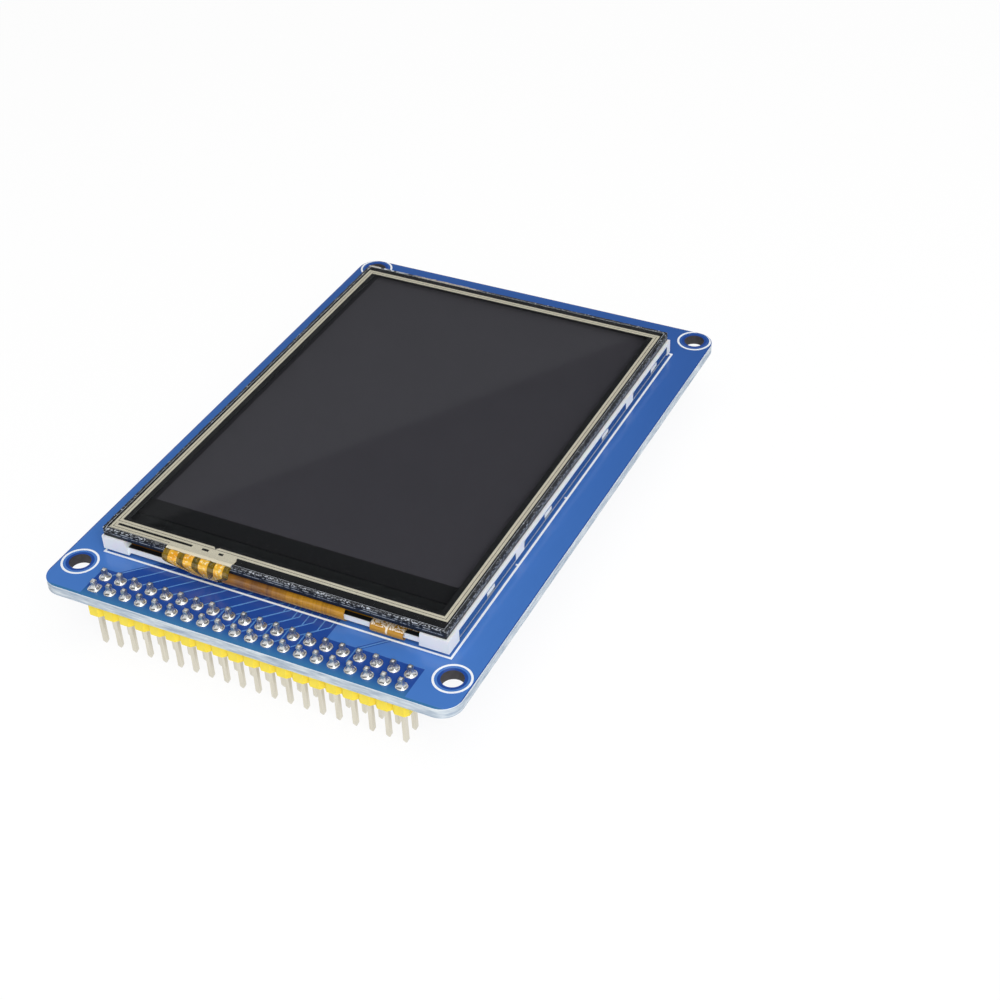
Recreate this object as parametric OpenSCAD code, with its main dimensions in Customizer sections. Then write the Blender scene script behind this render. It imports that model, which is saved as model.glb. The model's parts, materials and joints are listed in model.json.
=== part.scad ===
// Resistive-touch TFT display module on a carrier board.
//
// Frame: millimetres, +Z out of the screen. The origin is the centre of the four
// mounting holes, on the underside of the board, where stand-offs bear. Each module
// works in board places: X from the board's centre line, Y from the header edge,
// Z from the underside. at_header_edge() then moves it to the origin above.

/* [Board] */
// Width of the board
board_w = 65; // [62:0.5:80]
// Length of the board, from the header edge to the card edge
board_l = 95; // [92:0.5:120]
// Thickness of the board
board_t = 1.6; // [1:0.1:2.4]
// Corner radius of the board
board_corner_r = 3; // [1:0.5:3.5]

/* [Mounting holes] */
// Radius of each mounting hole
hole_r = 1.6; // [1.1:0.05:1.7]
// From the side edge to the hole centres
hole_side_inset = 3; // [2.8:0.1:3.2]
// From the header edge to the first pair of holes
hole_header_inset = 5.9; // [4:0.1:6.5]
// From the card edge to the second pair of holes
hole_card_inset = 2.5; // [2.3:0.1:3.5]

/* [Legend ink] */
// Thickness of the printed ink
ink_t = 0.03; // [0.02:0.01:0.05]
// Width of the printed lines
ink_line_w = 0.32; // [0.2:0.02:0.4]
// Outer radius of the ring round each mounting hole
ink_ring_r = 2.75; // [2.4:0.05:2.8]
// From the display's outline to the printed rectangle
ink_clear = 0.25; // [0.2:0.05:0.6]

/* [Header] */
// Distance between neighbouring pins
pin_pitch = 2.54; // [2:0.02:2.54]
// Pins in each of the two rows
pins_per_row = 20; // [6:1:20]
// Side of a square pin
pin_side = 0.64; // [0.5:0.02:0.7]
// Length of a pin below the insulator
pin_reach = 6; // [4:0.25:9]
// Length of a pin above the board
pin_stub = 1.4; // [1:0.1:1.8]
// Height of the insulator strip
insulator_h = 2.54; // [1.5:0.02:3]
// From the header edge to the first row of pins
header_inset = 1.96; // [1.7:0.02:2.2]
// Chamfer on the corners of each insulator cell
cell_chamfer = 0.55; // [0.3:0.05:0.7]

/* [Display place] */
// From the header edge to the front of the display
lcd_front = 9.3; // [9.2:0.1:9.8]
// Sideways offset of the display from the board's centre line
lcd_x = -0.2; // [-0.3:0.1:0.3]

/* [Display body] */
// Width of the display's frame
lcd_w = 55; // [53.5:0.1:55.2]
// Length of the display's frame
lcd_l = 78; // [76:0.5:78.5]
// Thickness of the foam tape that holds the display to the board
tape_t = 0.5; // [0.3:0.05:1]
// Thickness of the steel pan
pan_t = 0.2; // [0.15:0.05:0.25]
// Outside bend radius along the pan's lower edges
pan_bend_r = 0.35; // [0.3:0.05:0.5]
// Height of the frame's flange above the pan walls
flange_h = 0.52; // [0.35:0.05:0.6]
// Width of the frame's rim round the glass
rim_w = 1.05; // [0.9:0.05:1.3]
// Width of the ledge inside the rim that carries the glass
ledge_w = 1; // [0.8:0.1:1.2]
// Length of the front corner blocks
block_l = 3; // [2.5:0.1:3.2]
// Width of the left front corner block
left_block_w = 4.3; // [3.8:0.1:4.5]
// Width of the right front corner block
right_block_w = 4.5; // [3.8:0.1:4.7]
// How far the front sill stands behind the blocks
sill_recess = 0.35; // [0.3:0.05:0.45]
// Thickness of the front sill
sill_t = 0.9; // [0.6:0.1:1]

/* [Backlight] */
// Thickness of the white reflector sheet
reflector_t = 0.08; // [0.05:0.01:0.12]
// Thickness of the light guide
guide_t = 0.6; // [0.6:0.05:0.9]
// Thickness of the diffuser and of each prism film
film_t = 0.08; // [0.05:0.01:0.12]
// Thickness of the black rim tape under the glass
rim_tape_t = 0.07; // [0.05:0.01:0.1]
// Number of LEDs along the front edge
led_count = 6; // [4:1:8]
// Length of one LED
led_l = 3.8; // [2.5:0.1:4]
// Depth of one LED
led_d = 1.0; // [0.8:0.1:1.1]

/* [Glass] */
// Thickness of each polarizer
polarizer_t = 0.15; // [0.1:0.01:0.2]
// Thickness of the lower glass with the transistors
tft_glass_t = 0.35; // [0.3:0.05:0.5]
// Thickness of the upper glass with the colour filter
filter_glass_t = 0.3; // [0.3:0.05:0.5]
// Length of the lower glass that stands free of the upper one
contact_ledge = 4.3; // [4:0.1:5]
// From the front polarizer up to the top of the rim
rim_drop = 0.1; // [0.1:0.02:0.25]
// Length of the driver chip
driver_l = 20; // [16:0.5:22]
// Width of the driver chip
driver_w = 1.1; // [0.8:0.1:1.3]

/* [Flexible circuits] */
// Thickness of the flexible circuits
flex_t = 0.12; // [0.08:0.01:0.14]
// From the foot of the touch tail to the display's flexible circuit
display_flex_gap = 0.35; // [0.25:0.05:2]
// From the display's right side to its flexible circuit
display_flex_inset = 15.9; // [15:0.1:18]
// Width of the backlight's tail
led_tail_w = 5; // [4:0.1:5.5]
// From the display's right side to the middle of the backlight's tail
led_tail_inset = 9.45; // [8.9:0.05:9.8]

/* [Touch panel] */
// From the display's side to the touch panel's, before its sideways offset
touch_side_margin = 0.25; // [0.15:0.05:0.6]
// From the display's front to the touch panel's
touch_front_margin = 0.2; // [0.05:0.05:0.4]
// From the touch panel's back to the display's
touch_back_margin = 0.1; // [0.1:0.05:0.6]
// Sideways offset of the touch panel from the display
touch_dx = -0.1; // [-0.2:0.1:0.2]
// Thickness of the black gasket under the touch panel
gasket_t = 0.16; // [0.08:0.01:0.2]
// Width of the gasket
gasket_w = 1.6; // [1.2:0.1:1.8]
// Thickness of the touch glass
touch_glass_t = 0.9; // [0.7:0.05:1.1]
// Thickness of the tape between the touch glass and its film
spacer_t = 0.14; // [0.14:0.01:0.2]
// Width of the tape between the touch glass and its film
spacer_w = 2.4; // [2.2:0.1:2.6]
// Thickness of the printed silver lines
silver_t = 0.02; // [0.01:0.01:0.03]
// Width of one printed silver line
silver_w = 0.38; // [0.3:0.02:0.42]
// Gap between the two silver lines of a pair
silver_gap = 0.09; // [0.06:0.01:0.14]
// Thickness of the touch film
touch_film_t = 0.17; // [0.12:0.01:0.2]

/* [Touch tail] */
// Width of the tail where it leaves the film
tail_w = 10.8; // [10:0.1:11.3]
// Width of the tail where it meets the board
tail_foot_w = 4.4; // [4:0.1:5]
// How far the tail's foot stands to the right of its top
tail_foot_dx = 1; // [0:0.1:1.2]
// From the touch panel's left edge to the middle of the tail
tail_inset = 16.1; // [15.4:0.1:16.4]
// Radius of the tail's upper bend
tail_bend_r = 1.05; // [0.9:0.05:1.1]
// Number of copper tracks on the tail
tail_track_count = 4; // [2:1:4]
// Width of one copper track, where the tail is widest
tail_track_w = 1.45; // [1:0.05:1.6]
// Distance between neighbouring copper tracks, where the tail is widest
tail_track_pitch = 2.5; // [2:0.05:2.6]
// Thickness of the tail's copper
tail_foil_t = 0.02; // [0.01:0.01:0.03]

/* [Card socket] */
// Width of the memory card socket
socket_w = 27.6; // [27:0.1:29]
// Length of the memory card socket
socket_l = 27.5; // [26:0.1:29]
// Height of the memory card socket
socket_h = 2.9; // [2.8:0.05:3.4]
// Thickness of the socket's steel shell
shell_t = 0.2; // [0.15:0.01:0.3]
// Sideways place of the socket
socket_x = 0; // [-2:0.5:2]
// Width of the gap that the card slides in
card_gap_w = 24.4; // [24.2:0.1:25]
// Height of the gap that the card slides in
card_gap_h = 2.2; // [2.1:0.05:2.3]
// Distance between neighbouring card contacts
contact_pitch = 2.5; // [2.2:0.1:2.6]
// Width of one card contact
contact_w = 0.8; // [0.6:0.05:1]

/* [Chips underneath] */
// Length of the touch chip's body, along its leads' rows
chip_l = 5; // [4.9:0.1:6]
// Width of the touch chip's body
chip_w = 4.4; // [4:0.1:5]
// Height of the touch chip's body
chip_h = 1; // [0.8:0.05:1.4]
// Leads along each side of the touch chip
chip_leads_per_side = 8; // [4:1:8]
// Distance between neighbouring leads of the touch chip
chip_lead_pitch = 0.65; // [0.5:0.05:0.65]
// Length of a resistor or capacitor
small_chip_l = 1.6; // [1:0.1:2]
// Width of a resistor or capacitor
small_chip_w = 0.8; // [0.5:0.05:1.2]
// Height of a capacitor
capacitor_h = 0.8; // [0.5:0.05:1.2]
// Height of a resistor
resistor_h = 0.45; // [0.3:0.05:0.6]

/* [Hidden] */

$fn = 48;

// A little room between curved or fitted pieces, and a cut's overrun.
fit = 0.05;
over = 1;

// Mounting holes.
hole_span_x = board_w - 2*hole_side_inset;
hole_span_y = board_l - hole_header_inset - hole_card_inset;
header_edge_y = -(hole_header_inset + hole_span_y/2);
hole_places = [for (sx = [-1, 1], y = [hole_header_inset, board_l - hole_card_inset]) [sx*hole_span_x/2, y]];

// Header.
pin_columns = [for (i = [0 : pins_per_row - 1]) (i - (pins_per_row - 1)/2)*pin_pitch];
pin_rows = [header_inset, header_inset + pin_pitch];
pin_places = [for (x = pin_columns, y = pin_rows) [x, y]];
pin_hole_r = 0.5*pin_side*sqrt(2) + fit;
pin_tip_l = 0.5;

// Height of the underside of each layer, from the board upwards.
z_tape = board_t;
z_pan = z_tape + tape_t;
z_reflector = z_pan + pan_t;
z_guide = z_reflector + reflector_t;
z_diffuser = z_guide + guide_t;
z_lower_prism = z_diffuser + film_t;
z_upper_prism = z_lower_prism + film_t;
z_rim_tape = z_upper_prism + film_t;
z_rear_polarizer = z_rim_tape + rim_tape_t;
z_tft = z_rear_polarizer + polarizer_t;
z_filter = z_tft + tft_glass_t;
z_front_polarizer = z_filter + filter_glass_t;
z_rim_top = z_front_polarizer + polarizer_t + rim_drop;
z_touch_glass = z_rim_top + gasket_t;
z_spacer = z_touch_glass + touch_glass_t;
z_silver = z_spacer + spacer_t;
z_touch_film = z_silver + silver_t;

// Plan of the display: x from the display's centre line, y from the header edge.
lcd_back = lcd_front + lcd_l;
pocket_w = lcd_w - 2*rim_w;
pocket_back = lcd_back - rim_w;
guide_pocket_w = pocket_w - 2*ledge_w;
guide_pocket_back = pocket_back - ledge_w;
sill_front = lcd_front + sill_recess;
sill_back = sill_front + sill_t;
sill_top = z_guide + guide_t + 0.15;
pocket_front = sill_back + 0.15;
led_front = sill_back + fit;
guide_front = led_front + led_d + 0.35;
film_front = guide_front + 1.2;
glass_front = sill_back + 0.25;
tail_clear = 0.15;
filter_front = glass_front + contact_ledge;
polarizer_front = filter_front + 0.4;
blocks_back = lcd_front + block_l;

// Pan walls and the gaps that the frame's tabs and hooks stand in. The tabs, hooks
// and ticks keep to the same shares of the display's length.
pan_wall_top = z_rim_top - flange_h;
wall_recess = pan_t + 2*fit;
tab_w = 2.6;
tab_places = [for (share = [0.28, 0.785]) lcd_front + share*lcd_l];
hook_w = 2.2;
hook_h = 0.9;
hook_places = [for (share = [0.162, 0.4, 0.663, 0.912]) lcd_front + share*lcd_l];
hook_z = z_reflector + 0.35;
tick_places = [for (share = [0.264, 0.475]) lcd_front + share*lcd_l];
back_block_w = 3;
back_block_l = 1.2;

// Touch panel.
touch_w = lcd_w - 2*touch_side_margin;
touch_l = lcd_l - touch_front_margin - touch_back_margin;
touch_front = lcd_front + touch_front_margin;
touch_back = touch_front + touch_l;
led_tail_x = lcd_w/2 - led_tail_inset;
tail_x = tail_inset - touch_w/2;
display_flex_left = touch_dx + tail_x + tail_foot_dx + tail_foot_w/2 + display_flex_gap;
display_flex_right = lcd_w/2 - display_flex_inset;
display_flex_w = display_flex_right - display_flex_left;
display_flex_x = (display_flex_left + display_flex_right)/2;
silver_pair_w = 2*silver_w + silver_gap;
silver_side = 0.8;
silver_back = 1.4;
silver_front = 1.95;
silver_slot = 0.45;

// Touch tail: a quarter circle from the film, then a quarter ellipse to the board.
tail_top_z = z_spacer + spacer_t/2;
tail_foot_z = board_t + flex_t/2 + 0.02;
tail_drop = tail_top_z - tail_bend_r - tail_foot_z;
tail_run = 2.4;
tail_root_y = touch_front + 1.5;
tail_front_y = touch_front - tail_bend_r;
tail_foot_y = tail_front_y + tail_run + 1.95;

// Underside: the card socket opens at the board's back edge.
socket_mouth = board_l;
socket_back = socket_mouth - socket_l;
contact_count = 9;

module at_header_edge() {
    translate([0, header_edge_y, 0]) children();
}

module at_display() {
    translate([lcd_x, header_edge_y, 0]) children();
}

module at_touch() {
    translate([lcd_x + touch_dx, header_edge_y, 0]) children();
}

// A box centred on X, from y0 to y1 and from z0 to z1.
module slab(w, y0, y1, z0, z1, x = 0) {
    translate([x - w/2, y0, z0]) cube([w, y1 - y0, z1 - z0]);
}

// A flat rectangle centred on X, from y0 to y1, with round corners.
module rounded_plan(w, y0, y1, r) {
    union() {
        translate([-w/2 + r, y0]) square([w - 2*r, y1 - y0]);
        translate([-w/2, y0 + r]) square([w, y1 - y0 - 2*r]);
        for (x = [-w/2 + r, w/2 - r], y = [y0 + r, y1 - r]) translate([x, y]) circle(r);
    }
}

module rounded_slab(w, y0, y1, z0, z1, r) {
    translate([0, 0, z0]) linear_extrude(z1 - z0) rounded_plan(w, y0, y1, r);
}

// A flat rectangular ring: its outer edge, and the width of its band on each side.
module ring_slab(w, y0, y1, z0, z1, side, front, back) {
    difference() {
        slab(w, y0, y1, z0, z1);
        slab(w - 2*side, y0 + front, y1 - back, z0 - over, z1 + over);
    }
}

// The outline of a strip of thickness t that follows a line of [y, z] points.
function unit(v) = v/norm(v);
function along(p, i) = unit(p[min(i + 1, len(p) - 1)] - p[max(i - 1, 0)]);
function side_line(p, d) = [for (i = [0 : len(p) - 1]) p[i] + d*[-along(p, i)[1], along(p, i)[0]]];
function strip_outline(p, a, b) =
    concat(side_line(p, a), [for (i = [len(p) - 1 : -1 : 0]) side_line(p, b)[i]]);

// Extrudes a shape drawn in the YZ plane by w along X, centred on x.
module along_x(w, x = 0) {
    translate([x - w/2, 0, 0]) rotate([90, 0, 90]) linear_extrude(w) children();
}

function arc_line(cy, cz, ry, rz, a0, a1, n) =
    [for (i = [0 : n]) let (a = a0 + (a1 - a0)*i/n) [cy + ry*cos(a), cz + rz*sin(a)]];

// A flexible circuit that leaves the display at height z_top, turns down round the
// sill in a half circle and runs back under the display, on the board.
flex_solder_t = 0.05;
flex_bulge = 0.25;
function flex_fold(y_root, z_top, y_foot) =
    let (z_foot = board_t + flex_solder_t + flex_t/2,
         r = (z_top - z_foot)/2,
         cy = sill_front - flex_bulge + r)
    concat([[y_root, z_top]], arc_line(cy, z_foot + r, r, r, 90, 270, 14), [[y_foot, z_foot]]);

// ---------------------------------------------------------------- board

module circuit_board() {
    color("#3f6fb5") at_header_edge() difference() {
        linear_extrude(board_t) rounded_plan(board_w, 0, board_l, board_corner_r);
        for (p = hole_places) translate([p[0], p[1], -over]) cylinder(r = hole_r, h = board_t + 2*over);
        for (p = pin_places)
            translate([p[0], p[1], -over]) cylinder(r = pin_hole_r, h = board_t + 2*over, $fn = 16);
    }
}

// Printed on the board: a ring round each mounting hole, the display's outline and
// two ticks that cross from it to the display's right edge.
module legend_plan() {
    outline_w = lcd_w + 2*ink_clear;
    outline_y = lcd_front - ink_clear;
    outline_l = lcd_l + 2*ink_clear;
    tick_l = 0.6;
    for (p = hole_places) translate(p) difference() {
        circle(ink_ring_r);
        circle(ink_ring_r - ink_line_w);
    }
    difference() {
        translate([-outline_w/2, outline_y]) square([outline_w, outline_l]);
        translate([-outline_w/2 + ink_line_w, outline_y + ink_line_w])
            square([outline_w - 2*ink_line_w, outline_l - 2*ink_line_w]);
    }
    for (y = tick_places) translate([outline_w/2 - tick_l, y - ink_line_w/2]) square([tick_l, ink_line_w]);
}

module legend_ink() {
    margin = 0.1;
    color("white") at_header_edge() translate([0, 0, board_t]) linear_extrude(ink_t) intersection() {
        legend_plan();
        rounded_plan(board_w - 2*margin, margin, board_l - margin, board_corner_r - margin);
    }
}

// ---------------------------------------------------------------- header

module header_cell() {
    w = pin_pitch;
    l = 2*pin_pitch;
    c = cell_chamfer;
    polygon([[-w/2, -l/2 + c], [-w/2 + c, -l/2], [w/2 - c, -l/2], [w/2, -l/2 + c],
             [w/2, l/2 - c], [w/2 - c, l/2], [-w/2 + c, l/2], [-w/2, l/2 - c]]);
}

module header_insulator() {
    color("#e8d84f") at_header_edge() difference() {
        translate([0, 0, -insulator_h]) linear_extrude(insulator_h) union() {
            for (x = pin_columns) translate([x, header_inset + pin_pitch/2]) header_cell();
        }
        for (p = pin_places)
            slab(pin_side, p[1] - pin_side/2, p[1] + pin_side/2, -insulator_h - over, over, x = p[0]);
    }
}

// A square pin with a tapered tip below, from profiles crossed at right angles.
module pin_profile(top) {
    s = pin_side/2;
    tip_s = s/3;
    low = -insulator_h - pin_reach;
    polygon([[-s, top], [s, top], [s, low + pin_tip_l], [tip_s, low], [-tip_s, low], [-s, low + pin_tip_l]]);
}

module header_pin() {
    top = board_t + pin_stub;
    intersection() {
        translate([0, pin_side, 0]) rotate([90, 0, 0]) linear_extrude(2*pin_side) pin_profile(top);
        translate([-pin_side, 0, 0]) rotate([90, 0, 90]) linear_extrude(2*pin_side) pin_profile(top);
    }
}

module header_pins() {
    color("#ddd8c6") at_header_edge() for (p = pin_places) translate(p) header_pin();
}

// A concave fillet that climbs from the pad to the pin, with a low vertical edge.
module solder_fillet() {
    foot_r = pin_side/2 + 0.63;
    neck_r = pin_side/2 + 0.18;
    edge = 0.12;
    rise = 1.0;
    steps = 3;
    difference() {
        rotate_extrude($fn = 16) polygon(concat([[0, 0], [foot_r, 0]],
            [for (i = [0 : steps]) let (a = 90*i/steps)
                [foot_r - (foot_r - neck_r)*sin(a), edge + (rise - edge)*(1 - cos(a))]],
            [[0, rise]]));
        slab(pin_side, -pin_side/2, pin_side/2, -over, rise + over);
    }
}

module header_solder() {
    color("#c9ccd0") at_header_edge() for (p = pin_places) translate([p[0], p[1], board_t]) solder_fillet();
}

// ---------------------------------------------------------------- backlight

module mounting_tape() {
    inset = 2;
    band = 5;
    color("#2c2c2e") at_display()
        ring_slab(lcd_w - 2*inset, blocks_back + inset, lcd_back - inset, z_tape, z_pan, band, band, band);
}

// The pan's walls stand between the frame's corner blocks, with gaps for its tabs.
module pan_section(w) {
    h = pan_wall_top - z_pan;
    r = pan_bend_r;
    translate([0, z_pan]) difference() {
        union() {
            translate([-w/2 + r, 0]) square([w - 2*r, h]);
            translate([-w/2, r]) square([w, h - r]);
            for (x = [-w/2 + r, w/2 - r]) translate([x, r]) circle(r);
        }
        translate([-w/2 + pan_t, pan_t]) square([w - 2*pan_t, h + over]);
    }
}

// A notch for a tab, seen from the side: its back edge leans outwards at the top.
module tab_notch(y) {
    lean = 0.7;
    foot = z_pan + pan_bend_r;
    along_x(lcd_w + over) polygon([
        [y - tab_w/2 - fit, foot], [y + tab_w/2 + fit, foot], [y + tab_w/2 + fit, pan_wall_top - lean],
        [y + tab_w/2 + fit + lean, pan_wall_top], [y + tab_w/2 + fit + lean, z_rim_top],
        [y - tab_w/2 - fit, z_rim_top]]);
}

module backlight_pan() {
    w = lcd_w - 2*fit;
    block_gap = 0.2;
    front_w = w - 2*max(left_block_w, right_block_w) - 2*block_gap;
    back_w = w - 2*back_block_w - 2*block_gap;
    walls_back = lcd_back - back_block_l - fit;
    color("#b9bdc2") at_display() difference() {
        union() {
            along_y(blocks_back + fit, walls_back) pan_section(w);
            slab(front_w, sill_front + 0.55, blocks_back + over, z_pan, z_pan + pan_t);
            slab(back_w, walls_back - over, lcd_back - fit, z_pan, z_pan + pan_t);
            slab(back_w, lcd_back - fit - pan_t, lcd_back - fit, z_pan, pan_wall_top);
        }
        for (y = tab_places) tab_notch(y);
        for (y = hook_places)
            slab(lcd_w + over, y - hook_w/2 - fit, y + hook_w/2 + fit, hook_z - fit, hook_z + hook_h + fit);
    }
}

// A hook stands out of the frame's wall through a window in the pan: a wedge with
// its step at the top. side is -1 on the left wall and 1 on the right.
module frame_hook(side, y) {
    root = 0.3;
    step_h = 0.5;
    wall_x = lcd_w/2 - wall_recess;
    translate([side*wall_x, 0, hook_z]) mirror([side < 0 ? 1 : 0, 0, 0]) along_y(y - hook_w/2, y + hook_w/2)
        polygon([[-root, 0], [0, 0], [wall_recess, hook_h - step_h], [wall_recess, hook_h], [-root, hook_h]]);
}

// The front corner blocks and the opening between them, as seen from the front.
left_edge = -lcd_w/2 + left_block_w;
right_edge = lcd_w/2 - right_block_w;
left_slant = 0.55;
right_slant = 0.2;

module block_outlines() {
    polygon([[-lcd_w/2, z_pan], [left_edge, z_pan], [left_edge - left_slant, z_rim_top],
             [-lcd_w/2, z_rim_top]]);
    polygon([[right_edge, z_pan], [lcd_w/2, z_pan], [lcd_w/2, z_rim_top],
             [right_edge + right_slant, z_rim_top]]);
}

module opening_outline() {
    rise = (sill_top - z_pan)/(z_rim_top - z_pan);
    polygon([[left_edge - left_slant*rise, sill_top], [right_edge + right_slant*rise, sill_top],
             [right_edge + right_slant, z_rim_top], [right_edge + right_slant, z_rim_top + over],
             [left_edge - left_slant, z_rim_top + over], [left_edge - left_slant, z_rim_top]]);
}

// Extrudes a shape drawn in the XZ plane from y0 to y1.
module along_y(y0, y1) {
    translate([0, y1, 0]) rotate([90, 0, 0]) linear_extrude(y1 - y0) children();
}

module frame_shell() {
    union() {
        slab(lcd_w, sill_front, lcd_back, z_reflector, z_rim_top);
        along_y(lcd_front, blocks_back) block_outlines();
        for (side = [-1, 1])
            slab(back_block_w, lcd_back - back_block_l, lcd_back, z_pan, z_rim_top,
                 x = side*(lcd_w - back_block_w)/2);
    }
}

module wall_recesses() {
    for (side = [-1, 1]) difference() {
        slab(2*wall_recess, blocks_back, lcd_back - back_block_l, z_pan - over, pan_wall_top + fit,
             x = side*lcd_w/2);
        for (y = tab_places)
            slab(3*wall_recess, y - tab_w/2, y + tab_w/2, z_pan + pan_bend_r + fit, z_rim_top,
                 x = side*lcd_w/2);
    }
    slab(lcd_w - 2*back_block_w, lcd_back - wall_recess, lcd_back + over, z_pan - over, pan_wall_top + fit);
}

module display_frame() {
    color("#eef0f2") at_display() union() {
        difference() {
            frame_shell();
            slab(pocket_w, pocket_front, pocket_back, z_rim_tape, z_rim_top + over);
            slab(guide_pocket_w, sill_back, guide_pocket_back, z_pan - over, z_rim_top + over);
            along_y(lcd_front - over, sill_back + over) opening_outline();
            slab(led_tail_w + 2*tail_clear, sill_front - over, sill_back + over,
                 z_reflector + tail_clear, sill_top + over, x = led_tail_x);
            wall_recesses();
        }
        for (side = [-1, 1], y = hook_places) frame_hook(side, y);
    }
}

module reflector_sheet() {
    color("#f4f4f2") at_display()
        slab(guide_pocket_w - 2*fit, led_front, guide_pocket_back - fit,
             z_reflector, z_reflector + reflector_t);
}

module light_guide() {
    color("#dfe9ee") at_display()
        slab(guide_pocket_w - 2*fit, guide_front, guide_pocket_back - fit, z_guide, z_guide + guide_t);
}

led_margin = 3;
led_spread = guide_pocket_w - led_l - 2*led_margin;
led_places = [for (i = [0 : led_count - 1]) led_spread*(i/(led_count - 1) - 0.5)];

module backlight_leds() {
    face_sunk = 0.12;
    wall = 0.12;
    end_wall = 0.4;
    front = led_front + fit;
    color("#f3e9a8") at_display() for (x = led_places) difference() {
        slab(led_l, front, front + led_d, z_guide, z_guide + guide_t, x = x);
        slab(led_l - 2*end_wall, front + led_d - face_sunk, front + led_d + over,
             z_guide + wall, z_guide + guide_t - wall, x = x);
    }
}

// The strip that carries the LEDs lies on them and on the light guide's edge, and
// its tail leaves through the sill's notch and folds down to the board.
module backlight_flex() {
    z = z_diffuser;
    fold = flex_fold(led_front + 1, z + flex_t/2, led_front + 1.6);
    color("#c8832c") at_display() union() {
        slab(guide_pocket_w - 4*fit, led_front, film_front - fit, z, z + flex_t);
        along_x(led_tail_w, led_tail_x) polygon(strip_outline(fold, flex_t/2, -flex_t/2));
    }
}

module film_sheet(z) {
    slab(guide_pocket_w - 2*fit, film_front, guide_pocket_back - fit, z, z + film_t);
}

module diffuser_sheet() {
    color("#f2f2f0") at_display() film_sheet(z_diffuser);
}

module lower_prism_film() {
    color("#e4ebee") at_display() film_sheet(z_lower_prism);
}

module upper_prism_film() {
    color("#dfe8ec") at_display() film_sheet(z_upper_prism);
}

module rim_tape() {
    lap = 0.6;
    side = ledge_w + lap;
    front = 2.9;
    color("#18181a") at_display()
        ring_slab(pocket_w - 2*fit, film_front + fit, pocket_back - fit, z_rim_tape, z_rim_tape + rim_tape_t,
                  side, front, side);
}

// ---------------------------------------------------------------- glass

polarizer_inset = 0.4;

module polarizer(z) {
    slab(pocket_w - 2*polarizer_inset, polarizer_front, pocket_back - polarizer_inset, z, z + polarizer_t);
}

module rear_polarizer() {
    color("#26262a") at_display() polarizer(z_rear_polarizer);
}

module tft_glass() {
    color("#9fb4b0") at_display()
        slab(pocket_w - 4*fit, glass_front, pocket_back - 2*fit, z_tft, z_tft + tft_glass_t);
}

module filter_glass() {
    color("#8fa5a2") at_display()
        slab(pocket_w - 4*fit, filter_front, pocket_back - 2*fit, z_filter, z_filter + filter_glass_t);
}

module front_polarizer() {
    color("#3c3b40") at_display() polarizer(z_front_polarizer);
}

flex_bond_l = 1.5;
display_flex_foot = glass_front + contact_ledge - 0.9;
driver_y = (glass_front + flex_bond_l + filter_front)/2;

module driver_chip() {
    color("#5a5d66") at_display()
        slab(driver_l, driver_y - driver_w/2, driver_y + driver_w/2, z_filter, z_filter + filter_glass_t,
             x = display_flex_x);
}

// Black tape that keeps light off the driver chip.
module ledge_tape() {
    inset = 0.5;
    tape = 0.06;
    color("#141416") at_display()
        slab(pocket_w - 2*inset, glass_front, polarizer_front - 2*fit,
             z_front_polarizer, z_front_polarizer + tape);
}

module display_flex() {
    fold = flex_fold(glass_front + flex_bond_l, z_filter + flex_t/2, display_flex_foot);
    color("#a8692c") at_display()
        along_x(display_flex_w, display_flex_x) polygon(strip_outline(fold, flex_t/2, -flex_t/2));
}

// Solder under the feet of the display's and the backlight's flexible circuits.
module flex_solder() {
    pitch = 0.8;
    pad_w = pitch/2;
    pad_l = 1.6;
    lamp_pad_w = 1.4;
    lamp_pad_l = 1.5;
    count = floor((display_flex_w - 1)/pitch);
    color("#c9ccd0") at_display() {
        for (i = [0 : count - 1])
            slab(pad_w, display_flex_foot - pad_l, display_flex_foot, board_t, board_t + flex_solder_t,
                 x = display_flex_x + (i - (count - 1)/2)*pitch);
        for (side = [-1, 1])
            slab(lamp_pad_w, led_front, led_front + lamp_pad_l, board_t, board_t + flex_solder_t,
                 x = led_tail_x + side*led_tail_w/4);
    }
}

// ---------------------------------------------------------------- touch panel

panel_corner_r = 0.3;
layer_inset = 0.1;

module panel_ring(z0, z1, side, front, back) {
    ring_slab(touch_w - 2*layer_inset, touch_front + layer_inset, touch_back - layer_inset, z0, z1,
              side, front, back);
}

module touch_gasket() {
    color("#161618") at_touch() panel_ring(z_rim_top, z_touch_glass, gasket_w, gasket_w, gasket_w);
}

module touch_glass() {
    color("#b9c8cc", 0.5) at_touch()
        rounded_slab(touch_w, touch_front, touch_back, z_touch_glass, z_spacer, panel_corner_r);
}

// The tape stops beside the tail, which is bonded between the glass and the film.
module spacer_tape() {
    front = silver_front + silver_pair_w + 0.4;
    color("#1c1c1f") at_touch() difference() {
        panel_ring(z_spacer, z_silver, spacer_w, front, spacer_w);
        slab(tail_w + 2*fit, touch_front - over, tail_root_y + fit, z_spacer - over, z_silver + over,
             x = tail_x);
    }
}

// A closed loop of line, drawn flat: its outer edge is x0..x1 by y0..y1.
module line_loop(x0, x1, y0, y1) {
    difference() {
        translate([x0, y0]) square([x1 - x0, y1 - y0]);
        translate([x0 + silver_w, y0 + silver_w]) square([x1 - x0 - 2*silver_w, y1 - y0 - 2*silver_w]);
    }
}

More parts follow.
